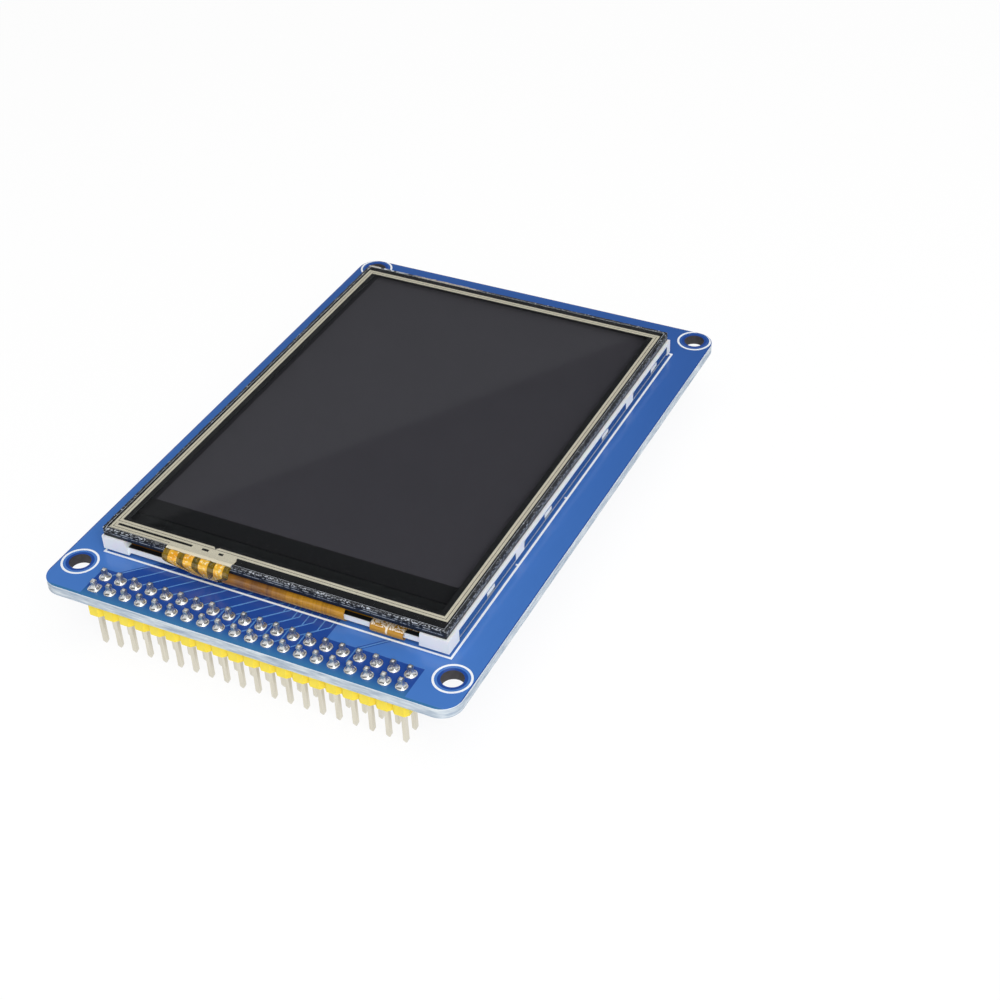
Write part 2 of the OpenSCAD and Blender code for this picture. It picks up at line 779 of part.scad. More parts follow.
// The film's silver lines: a pair of loops round the screen, and on the left a second
// pair outside them that runs to the plate over the tail's root. The plate joins the
// loops at three places, and a small diamond is nicked out of the inner loop.
module silver_plan() {
    step = silver_w + silver_gap;
    x0 = -touch_w/2 + silver_side;
    x1 = -x0;
    y0 = touch_front + silver_front;
    y1 = touch_back - silver_back;
    feed_y = y0 - silver_slot - silver_pair_w;
    plate_w = tail_w - 2*fit;
    plate_front = touch_front + 0.1;
    plate_back = y0 - silver_slot;
    join_lap = 0.1;
    join_shares = [[-0.19, -0.04], [0.06, 0.21], [0.28, 0.48]];
    nick = 1;
    nick_depth = 0.4;
    nick_x = tail_x + 0.12*tail_w;
    difference() {
        union() {
            line_loop(x0, x1, y0, y1);
            line_loop(x0 + step, x1 - step, y0 + step, y1 - step);
            for (i = [0, 1]) translate([x0 + i*step, feed_y + i*step]) {
                square([tail_x - x0 - i*step, silver_w]);
                square([silver_w, y0 - feed_y + silver_w - i*step]);
            }
            translate([tail_x - plate_w/2, plate_front]) square([plate_w, plate_back - plate_front]);
            for (j = join_shares) translate([tail_x + j[0]*tail_w, plate_back - join_lap])
                square([(j[1] - j[0])*tail_w, silver_slot + 2*join_lap]);
        }
        translate([nick_x, y0 + silver_pair_w + nick - nick_depth]) circle(nick, $fn = 4);
    }
}

module silver_lines() {
    color("#c8c5b1") at_touch() translate([0, 0, z_silver]) linear_extrude(silver_t) silver_plan();
}

module touch_film() {
    color("#c6d2d6", 0.4) at_touch()
        rounded_slab(touch_w, touch_front, touch_back, z_touch_film, z_touch_film + touch_film_t,
                     panel_corner_r);
}

// The tail's middle line, in the YZ plane.
tail_line = concat([[tail_root_y, tail_top_z]],
    arc_line(touch_front, tail_top_z - tail_bend_r, tail_bend_r, tail_bend_r, 90, 180, 7),
    [for (q = arc_line(tail_front_y + tail_run, tail_top_z - tail_bend_r, tail_run, tail_drop, 180, 270, 9))
        if (q[0] > tail_front_y) q],
    [[tail_foot_y, tail_foot_z]]);

// Width and middle of the tail at height z: it is full at the bend, and narrows
// smoothly to its foot as it leans to the right.
tail_narrow_z = tail_foot_z + 0.4*tail_drop;
function tail_rise(z) = (z - tail_narrow_z)/(tail_foot_z + tail_drop - tail_narrow_z);
function tail_share(z) = (1 - cos(180*max(0, min(1, tail_rise(z)))))/2;
function tail_width(z) = tail_foot_w + (tail_w - tail_foot_w)*tail_share(z);
function tail_middle(z) = tail_x + tail_foot_dx*(1 - tail_share(z));
tail_low = tail_foot_z - over;
tail_high = tail_top_z + over;
tail_heights = concat([tail_low],
    [for (i = [0 : 10]) tail_narrow_z + (tail_foot_z + tail_drop - tail_narrow_z)*i/10], [tail_high]);

// The outline, seen from the front, of a lengthwise band of the tail: a and b are
// its edges as shares of the tail's width, from -0.5 to 0.5.
module tail_band(a, b) {
    down = [for (i = [len(tail_heights) - 1 : -1 : 0]) tail_heights[i]];
    polygon(concat([for (z = tail_heights) [tail_middle(z) + a*tail_width(z), z]],
                   [for (z = down) [tail_middle(z) + b*tail_width(z), z]]));
}

// A strip along the tail's line, from a to b off its middle, of the shape of a band.
module tail_strip(a, b, y_end) {
    intersection() {
        along_x(tail_w + 2*over, tail_x) polygon(strip_outline(tail_line, a, b));
        along_y(tail_front_y - over, y_end) children();
    }
}

module touch_tail() {
    color("#e0a234") at_touch() tail_strip(flex_t/2, -flex_t/2, tail_foot_y + over) tail_band(-0.5, 0.5);
}

module tail_tracks() {
    half = tail_track_w/tail_w/2;
    pitch = tail_track_pitch/tail_w;
    color("#d98f2a") at_touch() tail_strip(-flex_t/2, -flex_t/2 - tail_foil_t, touch_front)
        for (i = [0 : tail_track_count - 1]) {
            middle = (i - (tail_track_count - 1)/2)*pitch;
            tail_band(middle - half, middle + half);
        }
}

// ---------------------------------------------------------------- card socket

body_floor = socket_h - shell_t - card_gap_h;
contact_places = [for (i = [0 : contact_count - 1]) (i - (contact_count - 1)/2)*contact_pitch];
contact_slot_l = 9;
contact_slot_h = 0.5;
shell_end = 0.6;

module at_socket() {
    translate([socket_x, header_edge_y, 0]) children();
}

// A finger pressed out of the shell: a U-shaped slit round it.
module finger_slit(x, y0, length, width) {
    slit = 0.5;
    for (side = [-1, 1])
        slab(slit, y0, y0 + length, -socket_h - over, -socket_h + 2*shell_t, x = x + side*(width + slit)/2);
    slab(width + 2*slit, y0, y0 + slit, -socket_h - over, -socket_h + 2*shell_t, x = x);
}

// Folded steel over the card, open towards the board and at the mouth. It has two
// spring fingers, a window on each side wall and tabs that are soldered to the board.
module card_shell() {
    finger_l = 6;
    finger_w = 2.1;
    finger_x = socket_w/2 - 7.1;
    hole_w = 1.6;
    hole_l = 2.5;
    hole_x = socket_w/2 - 3.2;
    window_l = 3;
    window_margin = 0.8;
    mouth_r = 6;
    mouth_depth = 3.4;
    foot_w = 1.2;
    foot_l = 2;
    foot_places = [socket_back + 4, socket_mouth - 7];
    color("#b4b8bd") at_socket() union() {
        difference() {
            slab(socket_w, socket_back, socket_mouth, -socket_h, 0);
            slab(socket_w - 2*shell_t, socket_back - over, socket_mouth + over, -socket_h + shell_t, over);
            for (side = [-1, 1]) {
                finger_slit(side*finger_x, socket_back + finger_l, finger_l, finger_w);
                slab(hole_w, socket_back + 2*finger_l + 2, socket_back + 2*finger_l + 2 + hole_l,
                     -socket_h - over, -socket_h + 2*shell_t, x = side*hole_x);
                slab(3*shell_t, socket_back + 3*window_l, socket_back + 4*window_l,
                     -socket_h + window_margin, -window_margin, x = side*socket_w/2);
            }
            translate([0, socket_mouth + mouth_r - mouth_depth, -socket_h - over])
                cylinder(r = mouth_r, h = over + 2*shell_t);
        }
        for (side = [-1, 1], y = foot_places)
            slab(foot_w + shell_t, y, y + foot_l, -shell_t, 0, x = side*(socket_w + foot_w - shell_t)/2);
    }
}

module card_body() {
    w = socket_w - 2*shell_t - fit;
    end_wall = 2.4;
    rail_w = 2;
    bridge_l = 11;
    lip_l = 4;
    color("#1d1d1f") at_socket() difference() {
        slab(w, socket_back, socket_mouth - shell_end, -socket_h + shell_t, 0);
        slab(card_gap_w, socket_back + end_wall, socket_mouth + over, -socket_h, -body_floor);
        for (x = contact_places)
            slab(contact_w + 2*fit, socket_back - over, socket_back + contact_slot_l,
                 -body_floor - contact_slot_h, over, x = x);
        slab(card_gap_w - 2*rail_w, socket_back + bridge_l, socket_mouth - lip_l, -body_floor - over, over);
    }
}

// One contact: a tail on the board, a riser and a bowed spring under the card.
module card_contact() {
    sheet = 0.16;
    foot_z = -sheet/2 - 0.02;
    seat_z = -body_floor - 0.12;
    bow_z = seat_z - 0.73;
    y = socket_back;
    line = [[y - 1.4, foot_z], [y - 0.3, foot_z], [y + 0.3, seat_z], [y + 2.5, seat_z],
            [y + 6.5, bow_z], [y + 7.4, bow_z], [y + 8.4, bow_z + 0.45]];
    along_x(contact_w) polygon(strip_outline(line, sheet/2, -sheet/2));
}

module card_contacts() {
    color("#c9a548") at_socket() for (x = contact_places) translate([x, 0, 0]) card_contact();
}

// ---------------------------------------------------------------- chips underneath

chip_gap = 0.1;
lead_t = 0.13;
chip_lead_w = 0.22;
chip_lead_reach = 1;
chip_lead_rise = chip_gap + 0.45;
chip_lead_places = [for (i = [0 : chip_leads_per_side - 1])
    (i - (chip_leads_per_side - 1)/2)*chip_lead_pitch];
socket_lead = 0.16;

// Rows of parts, by their distance from the header's back row or the socket's back.
front_row_y = pin_rows[1] + 19.5;
chip_y = front_row_y + 6;
middle_row_y = chip_y + 8;
socket_row_y = socket_back - 7.5;
chip_place = [-14, chip_y];
transistor_place = [12, chip_y + 1];

// A gull-wing lead on the underside: foot on the board, then down to the body's side.
module gull_lead(w, reach, rise) {
    line = [[-reach, -lead_t/2], [-0.45*reach, -lead_t/2], [-0.3*reach, -rise], [socket_lead, -rise]];
    along_x(w) polygon(strip_outline(line, lead_t/2, -lead_t/2));
}

// The socket in a body's side that a lead's inner end fills, with a little room.
module lead_socket(w, body_w, rise, x) {
    slab(w, -body_w/2 - over, -body_w/2 + socket_lead, -rise - lead_t, -rise + lead_t, x = x);
}

module at_chip() {
    translate([chip_place[0], header_edge_y + chip_place[1], 0]) children();
}

module touch_chip() {
    dot_r = 0.3;
    dot_inset = 0.8;
    dot_depth = 0.06;
    color("#202124") at_chip() difference() {
        slab(chip_l, -chip_w/2, chip_w/2, -chip_gap - chip_h, -chip_gap);
        translate([-chip_l/2 + dot_inset, -chip_w/2 + dot_inset, -chip_gap - chip_h - over])
            cylinder(r = dot_r, h = over + dot_depth);
        for (turn = [0, 180], x = chip_lead_places) rotate([0, 0, turn])
            lead_socket(chip_lead_w, chip_w, chip_lead_rise, x);
    }
}

module touch_chip_leads() {
    color("#c4c7cb") at_chip() for (turn = [0, 180], x = chip_lead_places) rotate([0, 0, turn])
        translate([x, -chip_w/2, 0]) gull_lead(chip_lead_w, chip_lead_reach, chip_lead_rise);
}

transistor_l = 2.9;
transistor_w = 1.3;
transistor_h = 0.95;
transistor_lead_w = 0.4;
transistor_lead_reach = 0.6;
transistor_lead_rise = chip_gap + 0.45;
// Each lead's x place, and the turn that puts it on the near or the far side.
transistor_lead_places = [[-0.95, 0], [0.95, 0], [0, 180]];

module at_transistor() {
    translate([transistor_place[0], header_edge_y + transistor_place[1], 0]) children();
}

module lamp_transistor() {
    color("#1d1d1f") at_transistor() difference() {
        slab(transistor_l, -transistor_w/2, transistor_w/2, -chip_gap - transistor_h, -chip_gap);
        for (p = transistor_lead_places) rotate([0, 0, p[1]])
            lead_socket(transistor_lead_w, transistor_w, transistor_lead_rise, p[0]);
    }
}

module transistor_leads() {
    color("#c4c7cb") at_transistor() for (p = transistor_lead_places) rotate([0, 0, p[1]])
        translate([p[0], -transistor_w/2, 0])
            gull_lead(transistor_lead_w, transistor_lead_reach, transistor_lead_rise);
}

// Resistors and capacitors: x, y and turn of each. Beside the touch chip, in a row
// behind it, in a row in front of it and in a row next to the card socket.
small_chip_cap = 0.3;
small_pitch = 3;
capacitor_places = concat([for (i = [0 : 2]) [-21, chip_y - 4 + i*small_pitch, 90]],
                          [for (i = [0 : 2]) [9 + i*(small_pitch + 0.5), socket_row_y, 0]]);
resistor_places = concat([for (i = [0 : 4]) [-20 + i*small_pitch, middle_row_y, 90]],
                         [for (i = [0 : 4]) [4 + i*small_pitch, front_row_y, 90]],
                         [for (i = [0 : 3]) [-11 + i*small_pitch, socket_row_y, 90]]);

module at_small_chip(p) {
    translate([p[0], header_edge_y + p[1], 0]) rotate([0, 0, p[2]]) children();
}

module small_chip_middle(h) {
    slab(small_chip_l - 2*small_chip_cap, -small_chip_w/2, small_chip_w/2, -h, 0);
}

module small_chip_caps(h) {
    plating = 0.02;
    for (side = [-1, 1])
        slab(small_chip_cap, -small_chip_w/2 - plating, small_chip_w/2 + plating, -h - plating, 0,
             x = side*(small_chip_l - small_chip_cap)/2);
}

module capacitors() {
    color("#b59a78") for (p = capacitor_places) at_small_chip(p) small_chip_middle(capacitor_h);
}

module resistors() {
    color("#1b1b1e") for (p = resistor_places) at_small_chip(p) small_chip_middle(resistor_h);
}

module chip_end_caps() {
    color("#c9ccd0") {
        for (p = capacitor_places) at_small_chip(p) small_chip_caps(capacitor_h);
        for (p = resistor_places) at_small_chip(p) small_chip_caps(resistor_h);
    }
}

circuit_board();
legend_ink();
header_insulator();
header_pins();
header_solder();
mounting_tape();
backlight_pan();
display_frame();
reflector_sheet();
light_guide();
backlight_leds();
backlight_flex();
diffuser_sheet();
lower_prism_film();
upper_prism_film();
rim_tape();
rear_polarizer();
tft_glass();
filter_glass();
front_polarizer();
driver_chip();
ledge_tape();
display_flex();
flex_solder();
touch_gasket();
touch_glass();
spacer_tape();
silver_lines();
touch_film();
touch_tail();
tail_tracks();
card_shell();
card_body();
card_contacts();
touch_chip();
touch_chip_leads();
lamp_transistor();
transistor_leads();
capacitors();
resistors();
chip_end_caps();
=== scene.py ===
"""Looks of a touch display module on its carrier board.

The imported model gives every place. Plan sizes below are in millimetres, measured from
the middle of the board's header edge; MM turns them into metres.
"""

import json
import math

import bpy
import numpy as np
from mathutils import Matrix, Vector


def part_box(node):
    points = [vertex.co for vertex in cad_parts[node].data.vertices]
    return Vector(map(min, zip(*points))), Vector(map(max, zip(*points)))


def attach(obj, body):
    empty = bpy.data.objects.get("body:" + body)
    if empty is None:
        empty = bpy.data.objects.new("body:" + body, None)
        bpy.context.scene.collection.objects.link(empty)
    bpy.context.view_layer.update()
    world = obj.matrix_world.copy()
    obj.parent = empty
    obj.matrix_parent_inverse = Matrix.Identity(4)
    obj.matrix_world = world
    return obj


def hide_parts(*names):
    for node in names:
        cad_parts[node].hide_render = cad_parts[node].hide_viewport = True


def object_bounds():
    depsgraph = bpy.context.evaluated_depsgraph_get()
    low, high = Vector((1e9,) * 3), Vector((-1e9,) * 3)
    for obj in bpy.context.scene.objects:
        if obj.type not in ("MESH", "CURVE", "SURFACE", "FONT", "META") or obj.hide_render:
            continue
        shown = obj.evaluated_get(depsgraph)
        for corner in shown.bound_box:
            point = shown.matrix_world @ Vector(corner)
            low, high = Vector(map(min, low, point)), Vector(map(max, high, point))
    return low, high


MM = 0.001
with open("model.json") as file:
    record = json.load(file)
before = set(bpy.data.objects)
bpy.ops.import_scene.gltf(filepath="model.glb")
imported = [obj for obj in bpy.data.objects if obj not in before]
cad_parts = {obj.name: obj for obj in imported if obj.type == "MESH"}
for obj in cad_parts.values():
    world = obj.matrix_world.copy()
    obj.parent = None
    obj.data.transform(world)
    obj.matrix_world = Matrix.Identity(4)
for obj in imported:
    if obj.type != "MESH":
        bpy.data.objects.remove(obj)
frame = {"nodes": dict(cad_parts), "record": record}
nodes = frame["nodes"]
cad_low, cad_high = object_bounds()

board_low, board_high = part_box("circuit_board")
edge_y = board_low.y
board_top = board_high.z
board_w = (board_high.x - board_low.x) / MM
board_l = (board_high.y - board_low.y) / MM

pin_pitch = 2.54
pins_per_row = 20
pin_rows = (1.96, 4.5)
pin_columns = (np.arange(pins_per_row) - (pins_per_row - 1) / 2) * pin_pitch
hole_x = 29.5
hole_front_y = 5.9
hole_back_y = 92.5
hole_r = 1.6


# ------------------------------------------------------------------ small helpers


def tone(red, green, blue):
    """A colour as seen on a screen, 0 to 255, turned into the shader's linear values."""
    seen = np.array([red, green, blue]) / 255
    linear = np.where(seen <= 0.04045, seen / 12.92, ((seen + 0.055) / 1.055) ** 2.4)
    return (*linear.tolist(), 1.0)


class Wiring:
    """A material's or a world's nodes, emptied, and ways to add to them."""

    def __init__(self, owner):
        owner.use_nodes = True
        self.tree = owner.node_tree
        self.tree.nodes.clear()

    def node(self, kind, **settings):
        """A new node, with its own settings such as operation."""
        made = self.tree.nodes.new(kind)
        for setting, value in settings.items():
            setattr(made, setting, value)
        return made

    def give(self, socket, value):
        """Links a node's output to a socket, or writes a constant on it."""
        if isinstance(value, bpy.types.NodeSocket):
            self.tree.links.new(value, socket)
        else:
            socket.default_value = value

    def math(self, operation, *values):
        made = self.node("ShaderNodeMath", operation=operation)
        for socket, value in zip(made.inputs, values):
            self.give(socket, value)
        return made.outputs[0]

    def times(self, first, second):
        return self.math("MULTIPLY", first, second)

    def larger(self, first, second):
        return self.math("MAXIMUM", first, second)

    def parts(self, vector):
        """The x, y and z of a vector."""
        made = self.node("ShaderNodeSeparateXYZ")
        self.give(made.inputs[0], vector)
        return made.outputs

    def span(self, value, low, high, to_low=0.0, to_high=1.0):
        """Carries value from low..high to to_low..to_high, and holds it at the ends."""
        made = self.node("ShaderNodeMapRange", clamp=True)
        for socket, given in zip(made.inputs, (value, low, high, to_low, to_high)):
            self.give(socket, given)
        return made.outputs[0]


class Finish(Wiring):
    """A material in the making: one Principled shader and the nodes that feed it."""

    def __init__(self, name, **constants):
        self.material = bpy.data.materials.new(name)
        super().__init__(self.material)
        self.shader = self.node("ShaderNodeBsdfPrincipled")
        self.output = self.node("ShaderNodeOutputMaterial")
        self.give(self.output.inputs["Surface"], self.shader.outputs["BSDF"])
        for socket, value in constants.items():
            self.shader.inputs[socket.replace("_", " ")].default_value = value
        self.place = self.node("ShaderNodeTexCoord").outputs["Object"]

    def axes(self):
        """The Object coordinates in millimetres: x and z as they are, y from the header edge."""
        x, y, z = self.parts(self.place)
        y = self.math("MULTIPLY_ADD", y, 1 / MM, -edge_y / MM)
        return self.times(x, 1 / MM), y, self.times(z, 1 / MM)

    def normal_z(self):
        """How far the surface faces up or down, from 1 to -1."""
        return self.parts(self.node("ShaderNodeNewGeometry").outputs["Normal"])[2]

    def noise(self, scale, detail=3.0, roughness=0.5, stretch=(1, 1, 1)):
        """Noise from 0 to 1 with scale cells to a metre; stretch squeezes it along each axis."""
        mapping = self.node("ShaderNodeMapping")
        self.give(mapping.inputs["Vector"], self.place)
        mapping.inputs["Scale"].default_value = stretch
        made = self.node("ShaderNodeTexNoise")
        self.give(made.inputs["Vector"], mapping.outputs[0])
        made.inputs["Scale"].default_value = scale
        made.inputs["Detail"].default_value = detail
        made.inputs["Roughness"].default_value = roughness
        return made.outputs[0]

    def blend(self, share, first, second):
        """Mixes two colours: first where share is 0, second where it is 1."""
        made = self.node("ShaderNodeMix", data_type="RGBA")
        self.give(made.inputs[0], share)
        self.give(made.inputs[6], first)
        self.give(made.inputs[7], second)
        return made.outputs[2]

    def relief(self, height, depth, strength=1.0):
        """Bumps the surface by height, from 0 to 1, times depth in metres."""
        made = self.node("ShaderNodeBump")
        made.inputs["Strength"].default_value = strength
        made.inputs["Distance"].default_value = depth
        self.give(made.inputs["Height"], height)
        self.give(self.shader.inputs["Normal"], made.outputs[0])

    def within(self, value, low, high, soft=0.02):
        """1 between low and high, 0 outside, with edges soft millimetres wide."""
        rising = self.span(value, low - soft, low + soft)
        falling = self.span(value, high - soft, high + soft, 1.0, 0.0)
        return self.times(rising, falling)

    def rectangle(self, x, y, x0, x1, y0, y1, soft=0.02):
        return self.times(self.within(x, x0, x1, soft), self.within(y, y0, y1, soft))

    def distance(self, x, y, cx, cy):
        dx = self.math("SUBTRACT", x, cx)
        dy = self.math("SUBTRACT", y, cy)
        return self.math("SQRT", self.math("ADD", self.times(dx, dx), self.times(dy, dy)))

    def opposite(self, share):
        """0 where share is 1 and 1 where it is 0."""
        return self.math("SUBTRACT", 1.0, share)

    def shine(self, share, first, second):
        """The surface shows the first shader where share is 0 and the second where it is 1."""
        both = self.node("ShaderNodeMixShader")
        self.give(both.inputs[0], share)
        self.give(both.inputs[1], first)
        self.give(both.inputs[2], second)
        self.give(self.output.inputs["Surface"], both.outputs[0])

    def let_light_through(self):
        """Lamps and diffuse light pass straight through, so what lies beneath is lit."""
        ray = self.node("ShaderNodeLightPath")
        passing = self.larger(ray.outputs["Is Shadow Ray"], ray.outputs["Is Diffuse Ray"])
        clear = self.node("ShaderNodeBsdfTransparent")
        clear.inputs["Color"].default_value = (0.95, 0.95, 0.95, 1)
        self.shine(passing, self.shader.outputs["BSDF"], clear.outputs["BSDF"])

    def colour(self, value):
        self.give(self.shader.inputs["Base Color"], value)

    def roughness(self, value):
        self.give(self.shader.inputs["Roughness"], value)


def speckled(finish, pale, dark, scale, detail=4.0):
    """Colour that drifts between two near tones."""
    finish.colour(finish.blend(finish.noise(scale, detail), pale, dark))


# ------------------------------------------------------------------ finishes


copper_inset = 0.14
rim_w = 0.3


def solder_mask():
    """Blue mask: paler over copper, darker over bare laminate, with the board's cut edges; over
    the copper a painted shade darkens it towards the back.

    The laminate is bare round the header, over the traces, round the holes and along the
    board's edges, as far in as the copper's inset.
    """
    f = Finish("solder_mask", Roughness=0.2, IOR=1.5)
    x, y, z = f.axes()
    up = f.normal_z()
    across = f.math("ABSOLUTE", x)

    header = f.rectangle(x, y, -25.5, 25.4, -1.0, 6.0)
    slant = f.math("SUBTRACT", x, y)
    field = f.times(f.within(x, -60, 10.55), f.within(y, 5.9, 30))
    field = f.times(field, f.span(slant, -29.05, -29.0))
    lane = f.larger(f.within(slant, 9.0, 9.22), f.within(slant, 9.62, 9.84))
    lane = f.times(lane, f.within(y, 5.95, 12))
    bare = f.larger(f.larger(header, field), lane)
    for cy in (hole_front_y, hole_back_y):
        ring = f.span(f.distance(across, y, hole_x, cy), hole_r + 0.42, hole_r + 0.46, 1.0, 0.0)
        bare = f.larger(bare, ring)
    inset = f.rectangle(across, y, -1, board_w / 2 - copper_inset, 0.42, board_l - copper_inset)
    bare = f.larger(bare, f.opposite(inset))
    bare = f.times(bare, f.span(up, 0.4, 0.6))

    rim = f.opposite(f.rectangle(across, y, -1, board_w / 2 - rim_w, rim_w, board_l - rim_w))
    arc = f.within(f.distance(across, y, hole_x, hole_back_y), 2.58, 2.76)
    arc = f.times(f.times(arc, rim), f.span(up, 0.4, 0.6))

    # Painted shade: the copper's blue turns darker towards the back of the board.
    far = f.span(y, 0, board_l)
    copper = f.blend(far, tone(74, 124, 198), tone(52, 94, 166))
    laminate = f.blend(f.span(y, 0.1, 2.4), tone(62, 122, 168), tone(36, 72, 150))
    drift = f.noise(60, 2.0)
    painted = f.blend(bare, copper, laminate)
    painted = f.blend(f.times(drift, 0.12), painted, tone(40, 92, 176))
    painted = f.blend(arc, painted, tone(222, 232, 246))

    streak = f.noise(900, 5.0, 0.6, stretch=(0.35, 0.35, 2.6))
    cut = f.blend(f.span(streak, 0.32, 0.68), tone(214, 222, 228), tone(146, 164, 184))
    cut = f.blend(f.span(z, board_top / MM - 0.2, board_top / MM - 0.05), cut, tone(228, 236, 242))
    walls = f.blend(f.noise(1400, 3.0), tone(70, 66, 70), tone(38, 36, 40))
    for cy in (hole_front_y, hole_back_y):
        inside = f.span(f.distance(across, y, hole_x, cy), hole_r + 0.1, hole_r + 0.15, 1.0, 0.0)
        cut = f.blend(inside, cut, walls)
    side = f.span(f.math("ABSOLUTE", up), 0.4, 0.6, 1.0, 0.0)
    f.colour(f.blend(side, painted, cut))
    f.roughness(f.span(side, 0, 1, 0.2, 0.62))
    grain = f.math("SUBTRACT", f.times(f.noise(2200, 3.0), 0.35), bare)
    f.relief(grain, 0.00002, 0.6)
    return f.material


def legend_ink():
    f = Finish("legend_ink", Roughness=0.55)
    speckled(f, tone(250, 252, 253), tone(232, 238, 246), 2600)
    f.relief(f.noise(4200, 3.0), 0.00001, 0.5)
    return f.material


def header_plastic():
    f = Finish("header_plastic", Roughness=0.48)
    speckled(f, tone(250, 228, 74), tone(240, 214, 52), 500)
    f.relief(f.noise(3000, 4.0), 0.000012, 0.5)
    return f.material


def tinned_pins():
    """Tin plate: drawn streaks along the pin."""
    f = Finish("tinned_pins", Metallic=1.0)
    drawn = f.noise(2400, 4.0, 0.6, stretch=(1, 1, 0.06))
    f.colour(f.blend(drawn, tone(236, 232, 218), tone(204, 198, 182)))
    f.roughness(f.span(drawn, 0.3, 0.7, 0.26, 0.42))
    f.relief(drawn, 0.000012, 0.5)
    return f.material


def solder():
    """Bright on its sides and duller where it faces up, where a painted highlight also makes it
    paler.
    """
    f = Finish("solder", Metallic=0.9)
    wave = f.noise(1300, 3.0, 0.55)
    top = f.span(f.normal_z(), 0.8, 0.96)
    grey = f.blend(wave, tone(236, 236, 234), tone(186, 187, 188))
    # Painted highlight: the colour turns paler where the solder faces up.
    f.colour(f.blend(top, grey, tone(244, 244, 242)))
    f.roughness(f.math("MULTIPLY_ADD", top, 0.28, f.span(wave, 0.3, 0.7, 0.18, 0.3)))
    f.relief(wave, 0.00002, 0.5)
    return f.material


def foam_tape():
    f = Finish("foam_tape", Roughness=0.95)
    speckled(f, tone(34, 34, 35), tone(20, 20, 21), 2600, 5.0)
    f.relief(f.noise(2600, 5.0), 0.00006, 0.8)
    return f.material


def pan_steel():
    """Bright rolled steel, with faint rolling lines along the display."""
    f = Finish("pan_steel", Metallic=1.0)
    rolled = f.noise(1800, 4.0, 0.6, stretch=(1, 0.03, 1))
    f.colour(f.blend(rolled, tone(198, 202, 208), tone(170, 176, 184)))
    f.roughness(f.span(rolled, 0.3, 0.7, 0.07, 0.16))
    f.relief(rolled, 0.000004, 0.4)
    return f.material


def frame_plastic():
    """White moulding, a little translucent, with a fine spark-eroded texture.

    The shelf in front of the display is painted black behind its lip, as painted shade in that
    recess.
    """
    f = Finish("frame_plastic", Roughness=0.42, Subsurface_Weight=0.12, Subsurface_Scale=0.0006)
    x, y, z = f.axes()
    white = f.blend(f.noise(300, 4.0), tone(246, 247, 249), tone(238, 240, 243))
    # Painted shade: the shelf top in the recess behind the lip is coloured black.
    shelf = f.rectangle(x, y, -25.0, 25.0, 9.78, 10.6)
    shelf = f.times(shelf, f.within(z, 3.0, 3.2))
    f.colour(f.blend(shelf, white, tone(20, 21, 23)))
    f.relief(f.noise(3800, 4.0), 0.000008, 0.4)
    return f.material


def reflector_film():
    f = Finish("reflector_film", Roughness=0.3)
    speckled(f, tone(248, 248, 246), tone(238, 239, 240), 400)
    return f.material


def acrylic():
    """Clear guide with a fine field of dots on its underside."""
    f = Finish("acrylic", Roughness=0.03, IOR=1.49, Transmission_Weight=1.0)
    speckled(f, tone(240, 248, 250), tone(228, 240, 244), 400)
    f.relief(f.noise(5000, 2.0), 0.00001, 0.4)
    return f.material


def led_resin():
    f = Finish("led_resin", Roughness=0.3)
    speckled(f, tone(244, 236, 186), tone(236, 214, 120), 900)
    return f.material


def flex_film():
    """Brown polyimide over fine conductors, amber where there are none.

    The backlight's tail, on the right, is glossy gold with a row of solder marks at its
    top and one pale line down its middle.
    """
    f = Finish("flex_film", Roughness=0.24, Coat_Weight=0.4)
    x, _, z = f.axes()
    thread = f.noise(4200, 2.0, 0.6, stretch=(1, 0.02, 0.02))
    band = f.noise(520, 2.0, 0.5, stretch=(1, 0.05, 0.05))
    conductors = f.within(x, -4.6, 9.9, 0.5)
    line = f.times(conductors, f.span(thread, 0.36, 0.64))
    amber = f.blend(f.span(x, -7.0, 3.0), tone(146, 98, 40), tone(192, 138, 36))
    dull = f.blend(f.span(band, 0.35, 0.65), tone(104, 70, 54), tone(166, 112, 42))
    shade = f.blend(f.times(f.within(x, -6.5, 1.5, 2.2), 0.8), amber, dull)
    shade = f.blend(f.times(line, 0.34), shade, tone(108, 66, 28))
    dots = f.noise(3600, 2.0, 0.5, stretch=(1, 1, 0.5))
    marks = f.times(f.span(z, 2.92, 2.98), f.span(dots, 0.48, 0.53))
    middle = f.times(f.within(x, 17.7, 18.0), f.span(z, 2.2, 2.4))
    marks = f.larger(f.times(marks, f.span(x, 14.9, 15.0)), middle)
    f.colour(f.blend(marks, shade, tone(250, 236, 214)))
    f.relief(line, 0.00001, 0.5)
    return f.material


def prism_film():
    """Clear film with fine ribs across it."""
    f = Finish("prism_film", Roughness=0.1, IOR=1.45, Transmission_Weight=1.0)
    _, y, _ = f.axes()
    ribs = f.math("SINE", f.times(y, 2 * math.pi / 0.05))
    speckled(f, tone(240, 244, 246), tone(226, 232, 236), 400)
    f.relief(ribs, 0.00001, 0.5)
    return f.material


def black_tape():
    f = Finish("black_tape", Roughness=0.6, Specular_IOR_Level=0.2)
    speckled(f, tone(21, 22, 24), tone(14, 15, 17), 900, 4.0)
    f.relief(f.noise(2000, 4.0), 0.00001, 0.4)
    return f.material


screen_sides = (-24.9, 24.2)
screen_ends = (19.0, 85.4)


